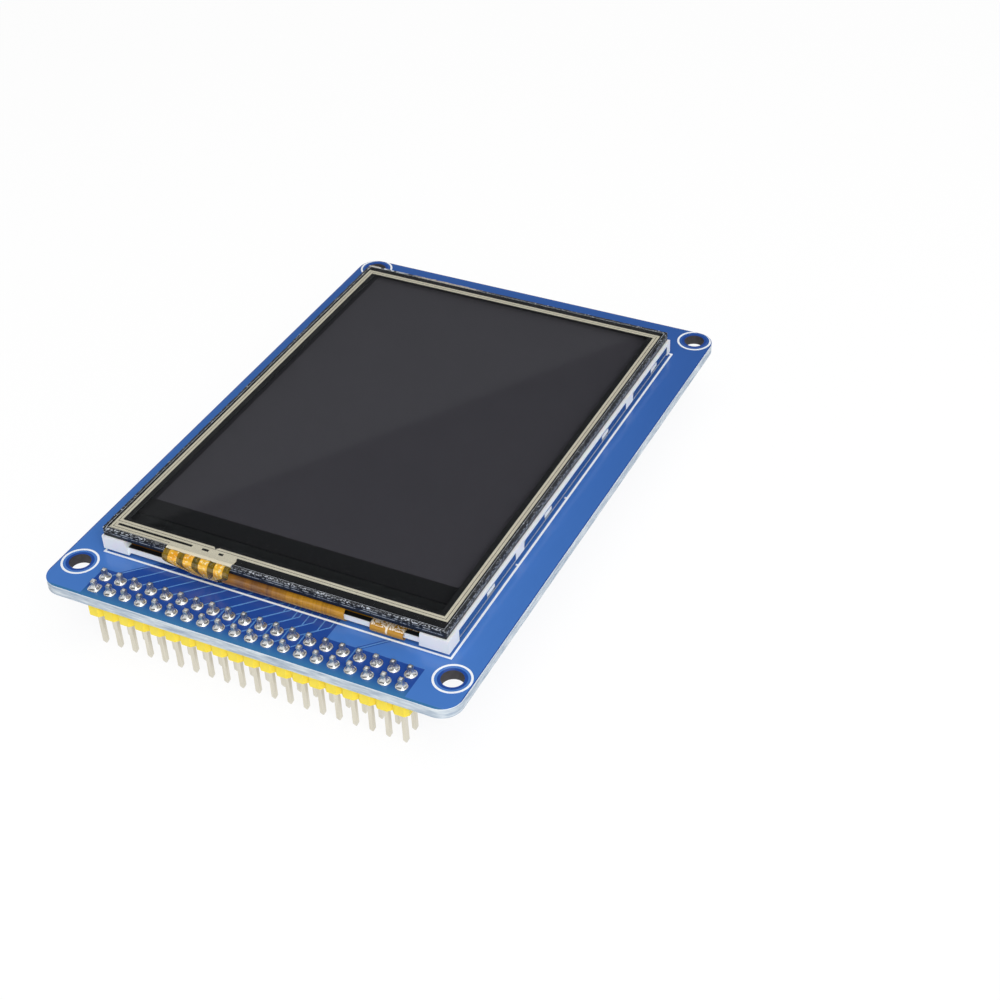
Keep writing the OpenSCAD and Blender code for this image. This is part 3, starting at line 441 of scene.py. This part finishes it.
def polarizer_film():
    """Dark grey film; the picture area behind it is a shade lighter than its border."""
    f = Finish("polarizer_film", Roughness=0.04, Specular_IOR_Level=0.15)
    x, y, _ = f.axes()
    front = screen_ends[0]
    picture = f.rectangle(x, y, *screen_sides, *screen_ends, soft=0.03)
    border = f.blend(f.span(y, front - 0.1, front), tone(38, 38, 40), tone(46, 45, 51))
    tint = f.blend(f.noise(40, 2.0), tone(77, 74, 80), tone(75, 72, 78))
    f.colour(f.blend(picture, border, tint))
    return f.material


def display_glass():
    f = Finish("display_glass", Roughness=0.04, IOR=1.5, Specular_IOR_Level=0.2)
    speckled(f, tone(22, 23, 25), tone(18, 19, 21), 200)
    return f.material


def chip_epoxy():
    f = Finish("chip_epoxy", Roughness=0.62)
    speckled(f, tone(44, 45, 48), tone(32, 33, 36), 1500)
    f.relief(f.noise(5200, 4.0), 0.00001, 0.6)
    return f.material


def cut_edge(f):
    """1 on a sheet's cut edges, 0 on its faces."""
    return f.span(f.math("ABSOLUTE", f.normal_z()), 0.4, 0.6, 1.0, 0.0)


def touch_glass():
    """Clear glass with ground, slightly chipped edges."""
    f = Finish("touch_glass", IOR=1.5, Transmission_Weight=1.0, Specular_IOR_Level=0.1)
    edge = cut_edge(f)
    chips = f.noise(1600, 4.0, 0.65, stretch=(1, 1, 0.5))
    ground = f.blend(f.span(chips, 0.42, 0.62), tone(150, 156, 162), tone(236, 240, 244))
    f.colour(f.blend(edge, tone(246, 250, 250), ground))
    f.roughness(f.times(edge, 0.5))
    f.relief(f.times(edge, chips), 0.00008, 0.9)
    f.let_light_through()
    return f.material


def touch_film():
    """Clear hard-coated film with a slightly rough cut edge."""
    f = Finish("touch_film", IOR=1.45, Transmission_Weight=1.0, Specular_IOR_Level=0.3)
    edge = cut_edge(f)
    nicks = f.noise(1300, 4.0, 0.65)
    f.colour(f.blend(edge, tone(248, 250, 251), tone(206, 210, 216)))
    f.roughness(f.span(f.times(edge, nicks), 0, 1, 0.015, 0.6))
    f.let_light_through()
    return f.material


def silver_ink():
    """Baked silver ink, grainy."""
    f = Finish("silver_ink", Roughness=0.5)
    speckled(f, tone(226, 219, 197), tone(208, 200, 178), 2400, 4.0)
    f.relief(f.noise(3600, 3.0), 0.000008, 0.5)
    return f.material


def tail_film():
    """Amber film, creased along the bend, half clear."""
    f = Finish("tail_film", Roughness=0.1, IOR=1.5, Transmission_Weight=0.4, Coat_Weight=0.5)
    crease = f.noise(900, 4.0, 0.62, stretch=(1, 0.6, 0.6))
    f.colour(f.blend(f.span(crease, 0.38, 0.62), tone(152, 122, 28), tone(86, 76, 18)))
    f.relief(crease, 0.0003, 0.9)
    f.let_light_through()
    return f.material


def copper_foil():
    """Orange copper under the film, creased, with pale painted glints."""
    f = Finish("copper_foil", Metallic=0.35, Roughness=0.24, Coat_Weight=0.6)
    crease = f.noise(1500, 4.0, 0.65, stretch=(1, 0.7, 0.7))
    painted_glint = f.noise(2600, 3.0, 0.6)
    orange = f.blend(f.span(crease, 0.35, 0.65), tone(255, 206, 70), tone(248, 168, 36))
    # Painted glints: pale spots of colour stand in for highlights on the copper.
    f.colour(f.blend(f.span(painted_glint, 0.56, 0.62), orange, tone(255, 236, 176)))
    f.relief(crease, 0.00016, 0.9)
    return f.material


def socket_steel():
    """Nickel-plated steel, brushed along the socket."""
    f = Finish("socket_steel", Metallic=1.0)
    brushed = f.noise(1500, 5.0, 0.65, stretch=(1, 0.05, 1))
    f.colour(f.blend(brushed, tone(218, 219, 221), tone(188, 190, 194)))
    f.roughness(f.span(brushed, 0.3, 0.7, 0.22, 0.38))
    f.relief(brushed, 0.00001, 0.4)
    return f.material


def socket_plastic():
    f = Finish("socket_plastic", Roughness=0.5)
    speckled(f, tone(42, 42, 45), tone(32, 32, 35), 600)
    f.relief(f.noise(3000, 4.0), 0.00001, 0.5)
    return f.material


def contact_gold():
    f = Finish("contact_gold", Metallic=1.0)
    rolled = f.noise(2500, 3.0, 0.5, stretch=(1, 0.1, 1))
    f.colour(f.blend(rolled, tone(240, 212, 132), tone(222, 188, 100)))
    f.roughness(f.span(rolled, 0.3, 0.7, 0.18, 0.32))
    return f.material


def capacitor_ceramic():
    f = Finish("capacitor_ceramic", Roughness=0.45)
    speckled(f, tone(186, 162, 130), tone(168, 142, 110), 2000)
    return f.material


def resistor_body():
    f = Finish("resistor_body", Roughness=0.3)
    speckled(f, tone(36, 36, 40), tone(26, 26, 30), 2000)
    return f.material


finishes = {
    make.__name__: make()
    for make in (
        solder_mask, legend_ink, header_plastic, tinned_pins, solder, foam_tape, pan_steel,
        frame_plastic, reflector_film, acrylic, led_resin, flex_film, prism_film, black_tape,
        polarizer_film, display_glass, chip_epoxy, touch_glass, touch_film, silver_ink,
        tail_film, copper_foil, socket_steel, socket_plastic, contact_gold,
        capacitor_ceramic, resistor_body,
    )
}

for part in frame["record"]["subparts"]:
    mesh = nodes[part["node"]].data
    mesh.materials.clear()
    mesh.materials.append(finishes[part["material_slot"]])


# ------------------------------------------------------------------ new pieces


def ring_faces(rings, sides, start):
    """Quads that join each ring of points to the next, and the two end caps."""
    i, j = np.meshgrid(np.arange(rings - 1), np.arange(sides), indexing="ij")
    k = (j + 1) % sides
    quads = np.stack([i * sides + j, i * sides + k, (i + 1) * sides + k, (i + 1) * sides + j], -1)
    quads = (quads.reshape(-1, 4) + start).tolist()
    first = (np.arange(sides)[::-1] + start).tolist()
    last = (np.arange(sides) + (rings - 1) * sides + start).tolist()
    return quads + [first, last]


def volume_of(solid):
    """Signed volume of a stack of rings: the sum of the ring faces' tetrahedra."""
    a = solid[:-1]
    b = np.roll(solid[:-1], -1, axis=1)
    c = np.roll(solid[1:], -1, axis=1)
    d = solid[1:]
    middle = solid.reshape(-1, 3).mean(0)
    a, b, c, d = a - middle, b - middle, c - middle, d - middle
    return np.einsum("ijk,ijk->", a, np.cross(b, c)) + np.einsum("ijk,ijk->", a, np.cross(c, d))


def add_piece(name, points, faces, finish, smooth=False):
    """Puts a mesh of those points and faces into the scene as a piece of the part."""
    mesh = bpy.data.meshes.new(name)
    mesh.from_pydata(points.reshape(-1, 3).tolist(), [], faces)
    if smooth:
        mesh.polygons.foreach_set("use_smooth", np.ones(len(mesh.polygons), bool))
    mesh.materials.append(finishes[finish])
    mesh.update()
    piece = bpy.data.objects.new(name, mesh)
    bpy.context.scene.collection.objects.link(piece)
    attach(piece, "root")
    return piece


def ring_stack_piece(name, solids, finish, smooth=True):
    """A piece made of closed solids, each an array of rings, sides and x, y, z."""
    points = []
    faces = []
    count = 0
    for solid in solids:
        if volume_of(solid) < 0:
            solid = solid[:, ::-1]
        rings, sides, _ = solid.shape
        faces += ring_faces(rings, sides, count)
        points.append(solid.reshape(-1, 3))
        count += rings * sides
    return add_piece(name, np.concatenate(points), faces, finish, smooth)


def on_board(points):
    """From millimetres at the header edge, on the board's top, to the frame's metres."""
    return points * MM + np.array([0.0, edge_y, board_top])


def under_board(points):
    """The same places on the underside, with heights counted downwards."""
    return points * np.array([MM, MM, -MM]) + np.array([0.0, edge_y, board_low.z])


def solder_joints():
    """Forty joints: each is a concave fillet from its pad up to the pin, and the pin's tip.

    With s from 0 at the pad to 1 at the pin, the radius is neck + (foot - neck)
    (1 - sin 90 s) and the height climbs as 1 - cos 90 s. Above it the pin goes straight up
    and ends in a quarter ellipse. The outline goes from round at the foot to the pin's
    rounded square, and shallow lobes run down the fillet. The first pad is square.
    """
    rng = np.random.default_rng(7)
    sides = 32
    turn = np.linspace(0, 2 * np.pi, sides, endpoint=False)
    fillet = np.linspace(0, 1, 10)
    tip = np.linspace(0, 1, 6)
    stub = 1.46
    square = (np.abs(np.cos(turn)) ** 5 + np.abs(np.sin(turn)) ** 5) ** (-1 / 5) - 1
    solids = []
    for column, x in enumerate(pin_columns):
        for y in pin_rows:
            foot = rng.uniform(0.85, 0.93)
            neck = rng.uniform(0.31, 0.35)
            climb = rng.uniform(0.95, 1.1)
            phase = rng.uniform(0, 2 * np.pi)
            lobes = rng.uniform(0.02, 0.06) * np.cos(4 * turn + phase)
            corner = 0.7 if column == 0 and y == pin_rows[0] else 0.0
            share = fillet[:, None]
            swell = neck + (foot - neck) * (1 - np.sin(0.5 * np.pi * share))
            form = 1 + (corner * (1 - share) + share) * square + np.sin(np.pi * share) * lobes
            rise = 0.06 + (climb - 0.06) * (1 - np.cos(0.5 * np.pi * fillet))
            straight = neck * (1 + square)[None, :]
            round_off = 0.12 + 0.88 * np.sqrt(1 - tip[:, None] ** 2)
            radius = np.concatenate([(swell * form)[:1], swell * form, straight * round_off])
            top = climb + 0.55 * (stub - climb)
            height = np.concatenate([[0.0], rise, top + (stub - top) * tip])
            ring = np.stack([x + radius * np.cos(turn), y + radius * np.sin(turn),
                             np.repeat(height[:, None], sides, 1)], -1)
            solids.append(on_board(ring))
    piece = ring_stack_piece("solder_joints", solids, "solder")
    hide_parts("header_solder")


def ribbon(path, width, height, place=on_board):
    """A low rounded strip along a flat path: half an ellipse of that width and height.

    At each point the strip is as wide as its mitre needs: half the width over the
    cosine of half the turn.
    """
    path = np.asarray(path, float)
    steps = np.diff(path, axis=0)
    steps /= np.linalg.norm(steps, axis=1)[:, None]
    before = np.concatenate([steps[:1], steps])
    after = np.concatenate([steps, steps[-1:]])
    way = before + after
    way /= np.linalg.norm(way, axis=1)[:, None]
    across = np.stack([-way[:, 1], way[:, 0]], -1) / np.sum(way * after, 1)[:, None]
    angle = np.linspace(0, np.pi, 7)
    offset = 0.5 * width * np.cos(angle)
    rise = height * np.sin(angle)
    flat = path[:, None, :] + across[:, None, :] * offset[None, :, None]
    heights = np.repeat(rise[None, :, None], len(path), 0)
    return place(np.concatenate([flat, heights], -1))


def signal_traces():
    """Traces under the mask: each climbs from its pin at 45 degrees, then straight back."""
    back = pin_rows[1]
    between_rows = sum(pin_rows) / 2
    under_display = 11.0
    straight_from = 5.7
    bus = (2.5, 3.5, 4.3, 5.05, 6.2, 7.4, 8.65, 10.0)
    traces = [[(x, back), (x + under_display - back, under_display)] for x in pin_columns[:9]]
    for k, x in enumerate(pin_columns[9:13]):
        turn_y = back + bus[2 * k] - x
        if turn_y < under_display:
            traces.append([(x, back), (bus[2 * k], turn_y), (bus[2 * k], under_display)])
    for k, x in enumerate(pin_columns[7:13]):
        lane = x + pin_pitch / 2
        way = [(x, pin_rows[0]), (lane, between_rows), (lane, straight_from)]
        if k < 2:
            way += [(lane + under_display - straight_from, under_display)]
        else:
            stop = max(bus[min(2 * k - 3, 7)], lane + 0.05)
            way += [(stop, straight_from + stop - lane), (stop, under_display)]
        traces.append(way)
    x = pin_columns[16]
    lane = x - pin_pitch / 2
    traces.append([(x, pin_rows[0]), (lane, between_rows), (lane, 5.75),
                   (lane + 5.25, under_display)])
    solids = [ribbon(path, 0.2, 0.016) for path in traces]
    ring_stack_piece("signal_traces", solids, "trace_mask")


# Places under the board: x of each lead, contact and resistor, then y of each row.
chip_leads = -14 + 0.65 * (np.arange(8) - 3.5)
card_contact_xs = 2.5 * (np.arange(9) - 4)
front_row = 4 + 3.0 * np.arange(5)
middle_row = -20 + 3.0 * np.arange(5)
socket_row = -11 + 3.0 * np.arange(4)
front_row_y = 24.0
middle_row_y = 38.0
socket_row_y = 60.0
contact_y = 66.1
cap_reach = 0.8


def jog(x0, y0, x1, y1, turn_end):
    """A trace from (x0, y0) to (x1, y1) that shifts sideways at 45 degrees, ending at turn_end."""
    begin = max(turn_end - abs(x1 - x0) - 0.01, y0 + 0.05)
    return [(x0, y0), (x0, begin), (x1, turn_end), (x1, y1)]


def hidden_traces():
    """Traces on the underside, from the header to the small parts, the chip and the socket."""
    head = pin_rows[1]
    to_front, from_front = front_row_y - cap_reach, front_row_y + cap_reach
    to_middle, from_middle = middle_row_y - cap_reach, middle_row_y + cap_reach
    to_socket, from_socket = socket_row_y - cap_reach, socket_row_y + cap_reach
    traces = [jog(pin, head, x, 26.8, 25.0) for pin, x in zip(pin_columns[:8], chip_leads)]
    traces += [jog(pin, head, x, to_front, 15.0 + k)
               for k, (pin, x) in enumerate(zip(pin_columns[11:16], front_row))]
    traces += [jog(x, 33.2, end, to_middle, 37.0)
               for x, end in zip(chip_leads[[0, 2, 4, 5, 7]], middle_row)]
    traces += [jog(x, from_middle, end, to_socket, 57.0)
               for x, end in zip(middle_row[1:], socket_row)]
    traces += [jog(x, from_socket, end, contact_y, 64.0)
               for x, end in zip(socket_row, card_contact_xs[:4])]
    traces += [[(0, contact_y), (0, 45)], [(2.5, contact_y), (2.5, 48)],
               [(-20, from_middle), (-20, 56)],
               [(5, contact_y), (5, 40), (1.27, 36.27), (1.27, head)],
               [(7.5, contact_y), (7.5, 62.3), (8.35, 61.45), (8.35, 60.4)],
               [(10, from_front), (10, 28.5), (11.05, 29.55), (11.05, 29.9)],
               [(13, from_front), (13, 29.9)], [(4, from_front), (4, 30)],
               [(7, from_front), (7, 33)],
               [(16, from_front), (16, 30), (18, 32), (18, 56)]]
    solids = [ribbon(path, 0.25, 0.016, under_board) for path in traces]
    supply = [(21.59, head), (21.59, 40), (11.9, 49.7), (11.9, 59.5)]
    solids.append(ribbon(supply, 0.8, 0.016, under_board))
    ring_stack_piece("hidden_traces", solids, "trace_mask")


def hidden_vias():
    """Low tented domes: a disc whose height falls as the cosine of the way to its rim."""
    rng = np.random.default_rng(5)
    ends = [(0, 45), (2.5, 48), (-20, 56), (4, 30), (7, 33), (18, 56)]
    columns, rows = np.meshgrid(np.arange(-27, 30, 9.0), np.arange(12, 66, 9.0))
    spread = np.stack([columns, rows], -1).reshape(-1, 2)
    places = np.concatenate([ends, spread + rng.uniform(-2.4, 2.4, spread.shape)])
    turn = np.linspace(0, 2 * np.pi, 14, endpoint=False)
    share = np.array([1.0, 0.8, 0.4, 0.1])
    radius = 0.36 * share[:, None] * np.ones_like(turn)
    height = np.repeat(0.022 * np.cos(0.5 * np.pi * share)[:, None], len(turn), 1)
    dome = np.stack([radius * np.cos(turn), radius * np.sin(turn), height], -1)
    solids = [under_board(dome + [x, y, 0]) for x, y in places]
    ring_stack_piece("hidden_vias", solids, "trace_mask")


def hidden_outlines():
    """White outlines printed round the parts on the underside."""

    def ends(x0, x1, y0, y1):
        return [[(x0, y0), (x1, y0)], [(x0, y1), (x1, y1)]]

    def sides(x0, x1, y0, y1):
        return [[(x0, y0), (x0, y1)], [(x1, y0), (x1, y1)]]

    header = (-25.9, 25.9, 0.4, 6.1)
    chip = (-17.0, -11.0, 26.3, 33.7)
    transistor = (10.2, 13.8, 29.4, 32.6)
    socket = (-15.4, 15.4, 67.1, 94.5)
    lines = []
    for outline in (header, chip, transistor):
        lines += ends(*outline) + sides(*outline)
    lines += ends(*socket)[:1] + sides(*socket)
    half_w, half_l = 0.75, 0.95
    upright = [(x, middle_row_y) for x in middle_row] + [(x, front_row_y) for x in front_row]
    upright += [(x, socket_row_y) for x in socket_row] + [(-21.0, y) for y in (26.0, 29.0, 32.0)]
    for x, y in upright:
        lines += sides(x - half_w, x + half_w, y - half_l, y + half_l)
    for x in (9.0, 12.5, 16.0):
        lines += ends(x - half_l, x + half_l, socket_row_y - half_w, socket_row_y + half_w)
    solids = [ribbon(path, 0.16, 0.02, under_board) for path in lines]
    ring_stack_piece("hidden_outlines", solids, "legend_ink")


def trace_mask():
    """Mask over a trace, which shows paler than over bare laminate."""
    f = Finish("trace_mask", Roughness=0.16, IOR=1.5)
    speckled(f, tone(94, 146, 206), tone(78, 128, 194), 300)
    return f.material


finishes["trace_mask"] = trace_mask()


def rounded_outline(low, high, corner, step=0.35):
    """Points round a rectangle with rounded corners, with their outward directions.

    Straight runs are cut every step millimetres and each corner is a quarter circle of
    eight points.
    """
    (x0, y0), (x1, y1) = low, high
    centres = [(x1 - corner, y0 + corner, -90), (x1 - corner, y1 - corner, 0),
               (x0 + corner, y1 - corner, 90), (x0 + corner, y0 + corner, 180)]
    points = []
    ways = []
    for k, (cx, cy, start) in enumerate(centres):
        angle = np.radians(start + np.linspace(0, 90, 8))
        way = np.stack([np.cos(angle), np.sin(angle)], -1)
        arc = np.array([cx, cy]) + corner * way
        nx, ny, _ = centres[(k + 1) % 4]
        goal = np.array([nx, ny]) + corner * way[-1]
        count = max(int(np.linalg.norm(goal - arc[-1]) / step), 2)
        share = np.linspace(0, 1, count + 1)[1:-1, None]
        points += [arc, arc[-1] + (goal - arc[-1]) * share]
        ways += [way, np.repeat(way[-1:], count - 1, 0)]
    return np.concatenate(points), np.concatenate(ways)


def rough(count, reach, rng):
    """Smooth random heights from 0 to 1 on a closed ring: noise averaged over reach points."""
    values = rng.random(count)
    window = np.hanning(reach + 2)
    wide = np.convolve(np.tile(values, 3), window / window.sum(), "same")[count:2 * count]
    return (wide - wide.min()) / (wide.max() - wide.min())


def box_mm(node):
    """A node's lowest and highest corners in millimetres."""
    return [np.array(corner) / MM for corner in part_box(node)]


sheet_corner_r = 0.3
sheet_gap = 0.004


def cut_sheet(name, node, trim, top_gap):
    """A clear sheet: its rounded outline, trim inside the sheet's own, carried straight up."""
    low, high = box_mm(node)
    points, _ = rounded_outline(low[:2] + trim, high[:2] - trim, sheet_corner_r)
    levels = (low[2] + sheet_gap, high[2] - top_gap)
    rings = [np.concatenate([points, np.full((len(points), 1), level)], 1) for level in levels]
    piece = ring_stack_piece(name, [np.array(rings) * MM], node, smooth=False)
    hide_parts(node)


def edge_band(name, node, finish, width, nick, seed):
    """The cut edge of a sheet: a box profile of that width carried round its outline.

    The outer side is drawn in by nick times the product of a fine and a slow random
    height, and the top's outer corner is lowered by a fifth of that.
    """
    low, high = box_mm(node)
    points, ways = rounded_outline(low[:2], high[:2], sheet_corner_r, 0.25)
    rng = np.random.default_rng(seed)
    count = len(points)
    worn = nick * rough(count, 1, rng) * rough(count, 9, rng)
    bottom, top = low[2] + sheet_gap, high[2] - 0.002
    bevel = 0.03
    still = np.full(count, width)
    inward = np.stack([still, worn, worn, worn + bevel, still], -1)
    level = np.ones(count)
    levels = np.stack([bottom * level, bottom * level, (top - bevel) * level,
                       top - 0.2 * worn, top * level], -1)
    flat = points[:, None, :] - ways[:, None, :] * inward[:, :, None]
    grid = np.concatenate([flat, levels[:, :, None]], -1) * MM
    loop_piece(name, grid, finish)


def loop_piece(name, grid, finish):
    """A closed ring from a grid of points: its first index runs round, its second across."""
    around, across, _ = grid.shape
    i, j = np.meshgrid(np.arange(around), np.arange(across), indexing="ij")
    a, b = (i + 1) % around, (j + 1) % across
    faces = np.stack([i * across + j, a * across + j, a * across + b, i * across + b], -1)
    corners = grid[i, j], grid[a, j], grid[a, b]
    if np.einsum("ijk,ijk->", corners[0], np.cross(corners[1], corners[2])) < 0:
        faces = faces[:, :, ::-1]
    add_piece(name, grid, faces.reshape(-1, 4).tolist(), finish)


line_in = 0.44


def torn_edge():
    """The film's cut edge: black tape with pale flecks of torn film, most of them in front.

    A thin pale line runs just inside the edge, and dots and dried glue lie on its back
    left part. Over the tail's root the silver plate reaches out to the bend.
    """
    f = Finish("torn_edge", Roughness=0.42)
    x, y, _ = f.axes()
    low, high = box_mm("touch_film")
    tail_low, tail_high = box_mm("touch_tail")
    left, right = low[0], high[0]
    front, back = low[1] - edge_y / MM, high[1] - edge_y / MM
    flecks = f.noise(3900, 3.0, 0.6)
    patches = f.noise(420, 2.0, 0.5)

    in_front = f.span(y, front + 0.24, front + 0.32, 1.0, 0.0)
    fewest = f.span(in_front, 0, 1, 0.6, 0.5)
    white = f.span(f.math("SUBTRACT", flecks, fewest), 0, 0.06)
    white = f.times(white, f.span(patches, 0.4, 0.55, 0.25, 1.0))
    behind = f.times(f.span(y, back - 0.5, back - 0.4), f.span(x, left + 4, left + 10, 1.0, 0.0))
    dots = f.times(behind, f.span(f.noise(1200, 1.0), 0.46, 0.52))
    inside = f.rectangle(x, y, left + line_in, right - line_in,
                         front + line_in, back - line_in, 0.015)
    line = f.times(inside, f.span(flecks, 0.4, 0.52, 0.2, 0.7))
    edge = f.blend(f.larger(f.larger(white, dots), line), tone(24, 26, 29), tone(206, 212, 220))

    strip = f.times(f.span(y, back - 0.5, back - 0.46), f.within(x, left + 9.5, left + 21, 0.8))
    corner = f.rectangle(x, y, left - 1, left + 2.2, back - 0.5, back + 1, 0.3)
    glue = f.times(f.larger(strip, corner), f.span(flecks, 0.36, 0.5, 0.3, 0.9))
    edge = f.blend(glue, edge, tone(188, 178, 164))
    root = f.rectangle(x, y, tail_low[0] + 0.1, tail_high[0] - 0.1, front - 1, front + 1)
    f.colour(f.blend(root, edge, tone(222, 214, 190)))
    f.relief(flecks, 0.00004, 0.8)
    return f.material


def scribed_edge():
    """The glass's edge: black, with a painted highlight: a pale line along it and pale flecks at
    its top.
    """
    f = Finish("scribed_edge", Roughness=0.3)
    _, _, z = f.axes()
    flecks = f.noise(1900, 3.0, 0.6)
    # Painted highlight: a pale line at the edge's middle height and pale flecks at its top.
    highlight_line = f.times(f.within(z, 4.95, 5.05, 0.03), f.span(flecks, 0.42, 0.5))
    top = f.times(f.span(z, 5.26, 5.3), f.span(flecks, 0.5, 0.56))
    pale = f.larger(highlight_line, f.times(top, 0.7))
    f.colour(f.blend(pale, tone(19, 21, 24), tone(176, 184, 194)))
    f.relief(flecks, 0.00004, 0.7)
    return f.material


finishes["torn_edge"] = torn_edge()
finishes["scribed_edge"] = scribed_edge()


# ------------------------------------------------------------------ studio


def floor():
    """A wide pale floor, level with the pins' tips, which glows white where it is looked at."""
    size = 3.0
    mesh = bpy.data.meshes.new("floor")
    z = cad_low.z
    corners = [(-size, -size, z), (size, -size, z), (size, size, z), (-size, size, z)]
    mesh.from_pydata(corners, [], [(0, 1, 2, 3)])
    piece = bpy.data.objects.new("floor", mesh)
    bpy.context.scene.collection.objects.link(piece)
    f = Finish("floor")
    f.tree.nodes.remove(f.shader)
    paint = f.node("ShaderNodeBsdfDiffuse")
    paint.inputs["Color"].default_value = (0.86, 0.86, 0.86, 1)
    glow = f.node("ShaderNodeEmission")
    glow.inputs["Strength"].default_value = 1.03
    ray = f.node("ShaderNodeLightPath")
    mirrored = f.larger(ray.outputs["Is Glossy Ray"], ray.outputs["Is Transmission Ray"])
    looked_at = f.larger(ray.outputs["Is Camera Ray"], mirrored)
    f.shine(f.times(looked_at, 0.88), paint.outputs[0], glow.outputs[0])
    mesh.materials.append(f.material)


horizon_level = 1.0
ceiling_split = (-0.5326, 0.3296, -0.7795)
ceiling_levels = (0.012, 0.056)


def studio_world():
    """White round the horizon and a dim ceiling, a little paler on its far left half.

    The horizon fades out as the height of a direction goes from 0.3 to 0.46. The ceiling's
    two halves meet in a sharp line through the middle of the studio.
    """
    world = bpy.data.worlds.new("studio")
    w = Wiring(world)
    place = w.node("ShaderNodeTexCoord").outputs["Generated"]
    horizon = w.span(w.parts(place)[2], 0.3, 0.46, horizon_level, 0.0)
    lean = w.node("ShaderNodeVectorMath", operation="DOT_PRODUCT")
    w.give(lean.inputs[0], place)
    w.give(lean.inputs[1], ceiling_split)
    ceiling = w.span(lean.outputs["Value"], -0.0015, 0.0015, *ceiling_levels)
    light = w.node("ShaderNodeBackground")
    w.give(light.inputs["Color"], w.math("ADD", horizon, ceiling))
    w.give(w.node("ShaderNodeOutputWorld").inputs["Surface"], light.outputs[0])
    bpy.context.scene.world = world


def soft_box(name, place, aim, width, length, radiance):
    """A rectangular lamp of a given radiance: power is radiance times area times pi."""
    data = bpy.data.lights.new(name, "AREA")
    data.shape = "RECTANGLE"
    data.size = width
    data.size_y = length
    data.energy = radiance * width * length * math.pi
    lamp = bpy.data.objects.new(name, data)
    lamp.location = place
    lamp.rotation_euler = (Vector(aim) - Vector(place)).to_track_quat("-Z", "Y").to_euler()
    bpy.context.scene.collection.objects.link(lamp)


def camera():
    """The camera stands in front on the right, well above the screen."""
    data = bpy.data.cameras.new("camera")
    data.lens = 65.674
    data.sensor_width = 36.0
    data.clip_start = 0.01
    eye = Vector((0.114539, -0.192811, 0.164879))
    back = Vector((0.361091, -0.700388, 0.615687)).normalized()
    up = Vector((-0.245548, 0.565522, 0.787332))
    right = up.cross(back).normalized()
    up = back.cross(right)
    turn = Matrix((right, up, back)).transposed()
    made = bpy.data.objects.new("camera", data)
    made.matrix_world = Matrix.Translation(eye) @ turn.to_4x4()
    bpy.context.scene.collection.objects.link(made)
    bpy.context.scene.camera = made


floor()
studio_world()
soft_box("overhead", (0.1, -0.08, 0.5), (0.0, 0.0, 0.0), 0.7, 0.75, 1.45)
soft_box("front", (0.4, -0.46, 0.48), (0.0, 0.0, 0.0), 0.5, 0.4, 4.4)
camera()
bpy.context.scene.view_settings.view_transform = "Standard"

solder_joints()
signal_traces()
hidden_traces()
hidden_vias()
hidden_outlines()
cut_sheet("film_sheet", "touch_film", trim=0.51, top_gap=0.0)
edge_band("film_edge", "touch_film", "torn_edge", width=0.5, nick=0.2, seed=11)
cut_sheet("glass_sheet", "touch_glass", trim=0.16, top_gap=sheet_gap)
edge_band("glass_edge", "touch_glass", "scribed_edge", width=0.15, nick=0.08, seed=12)
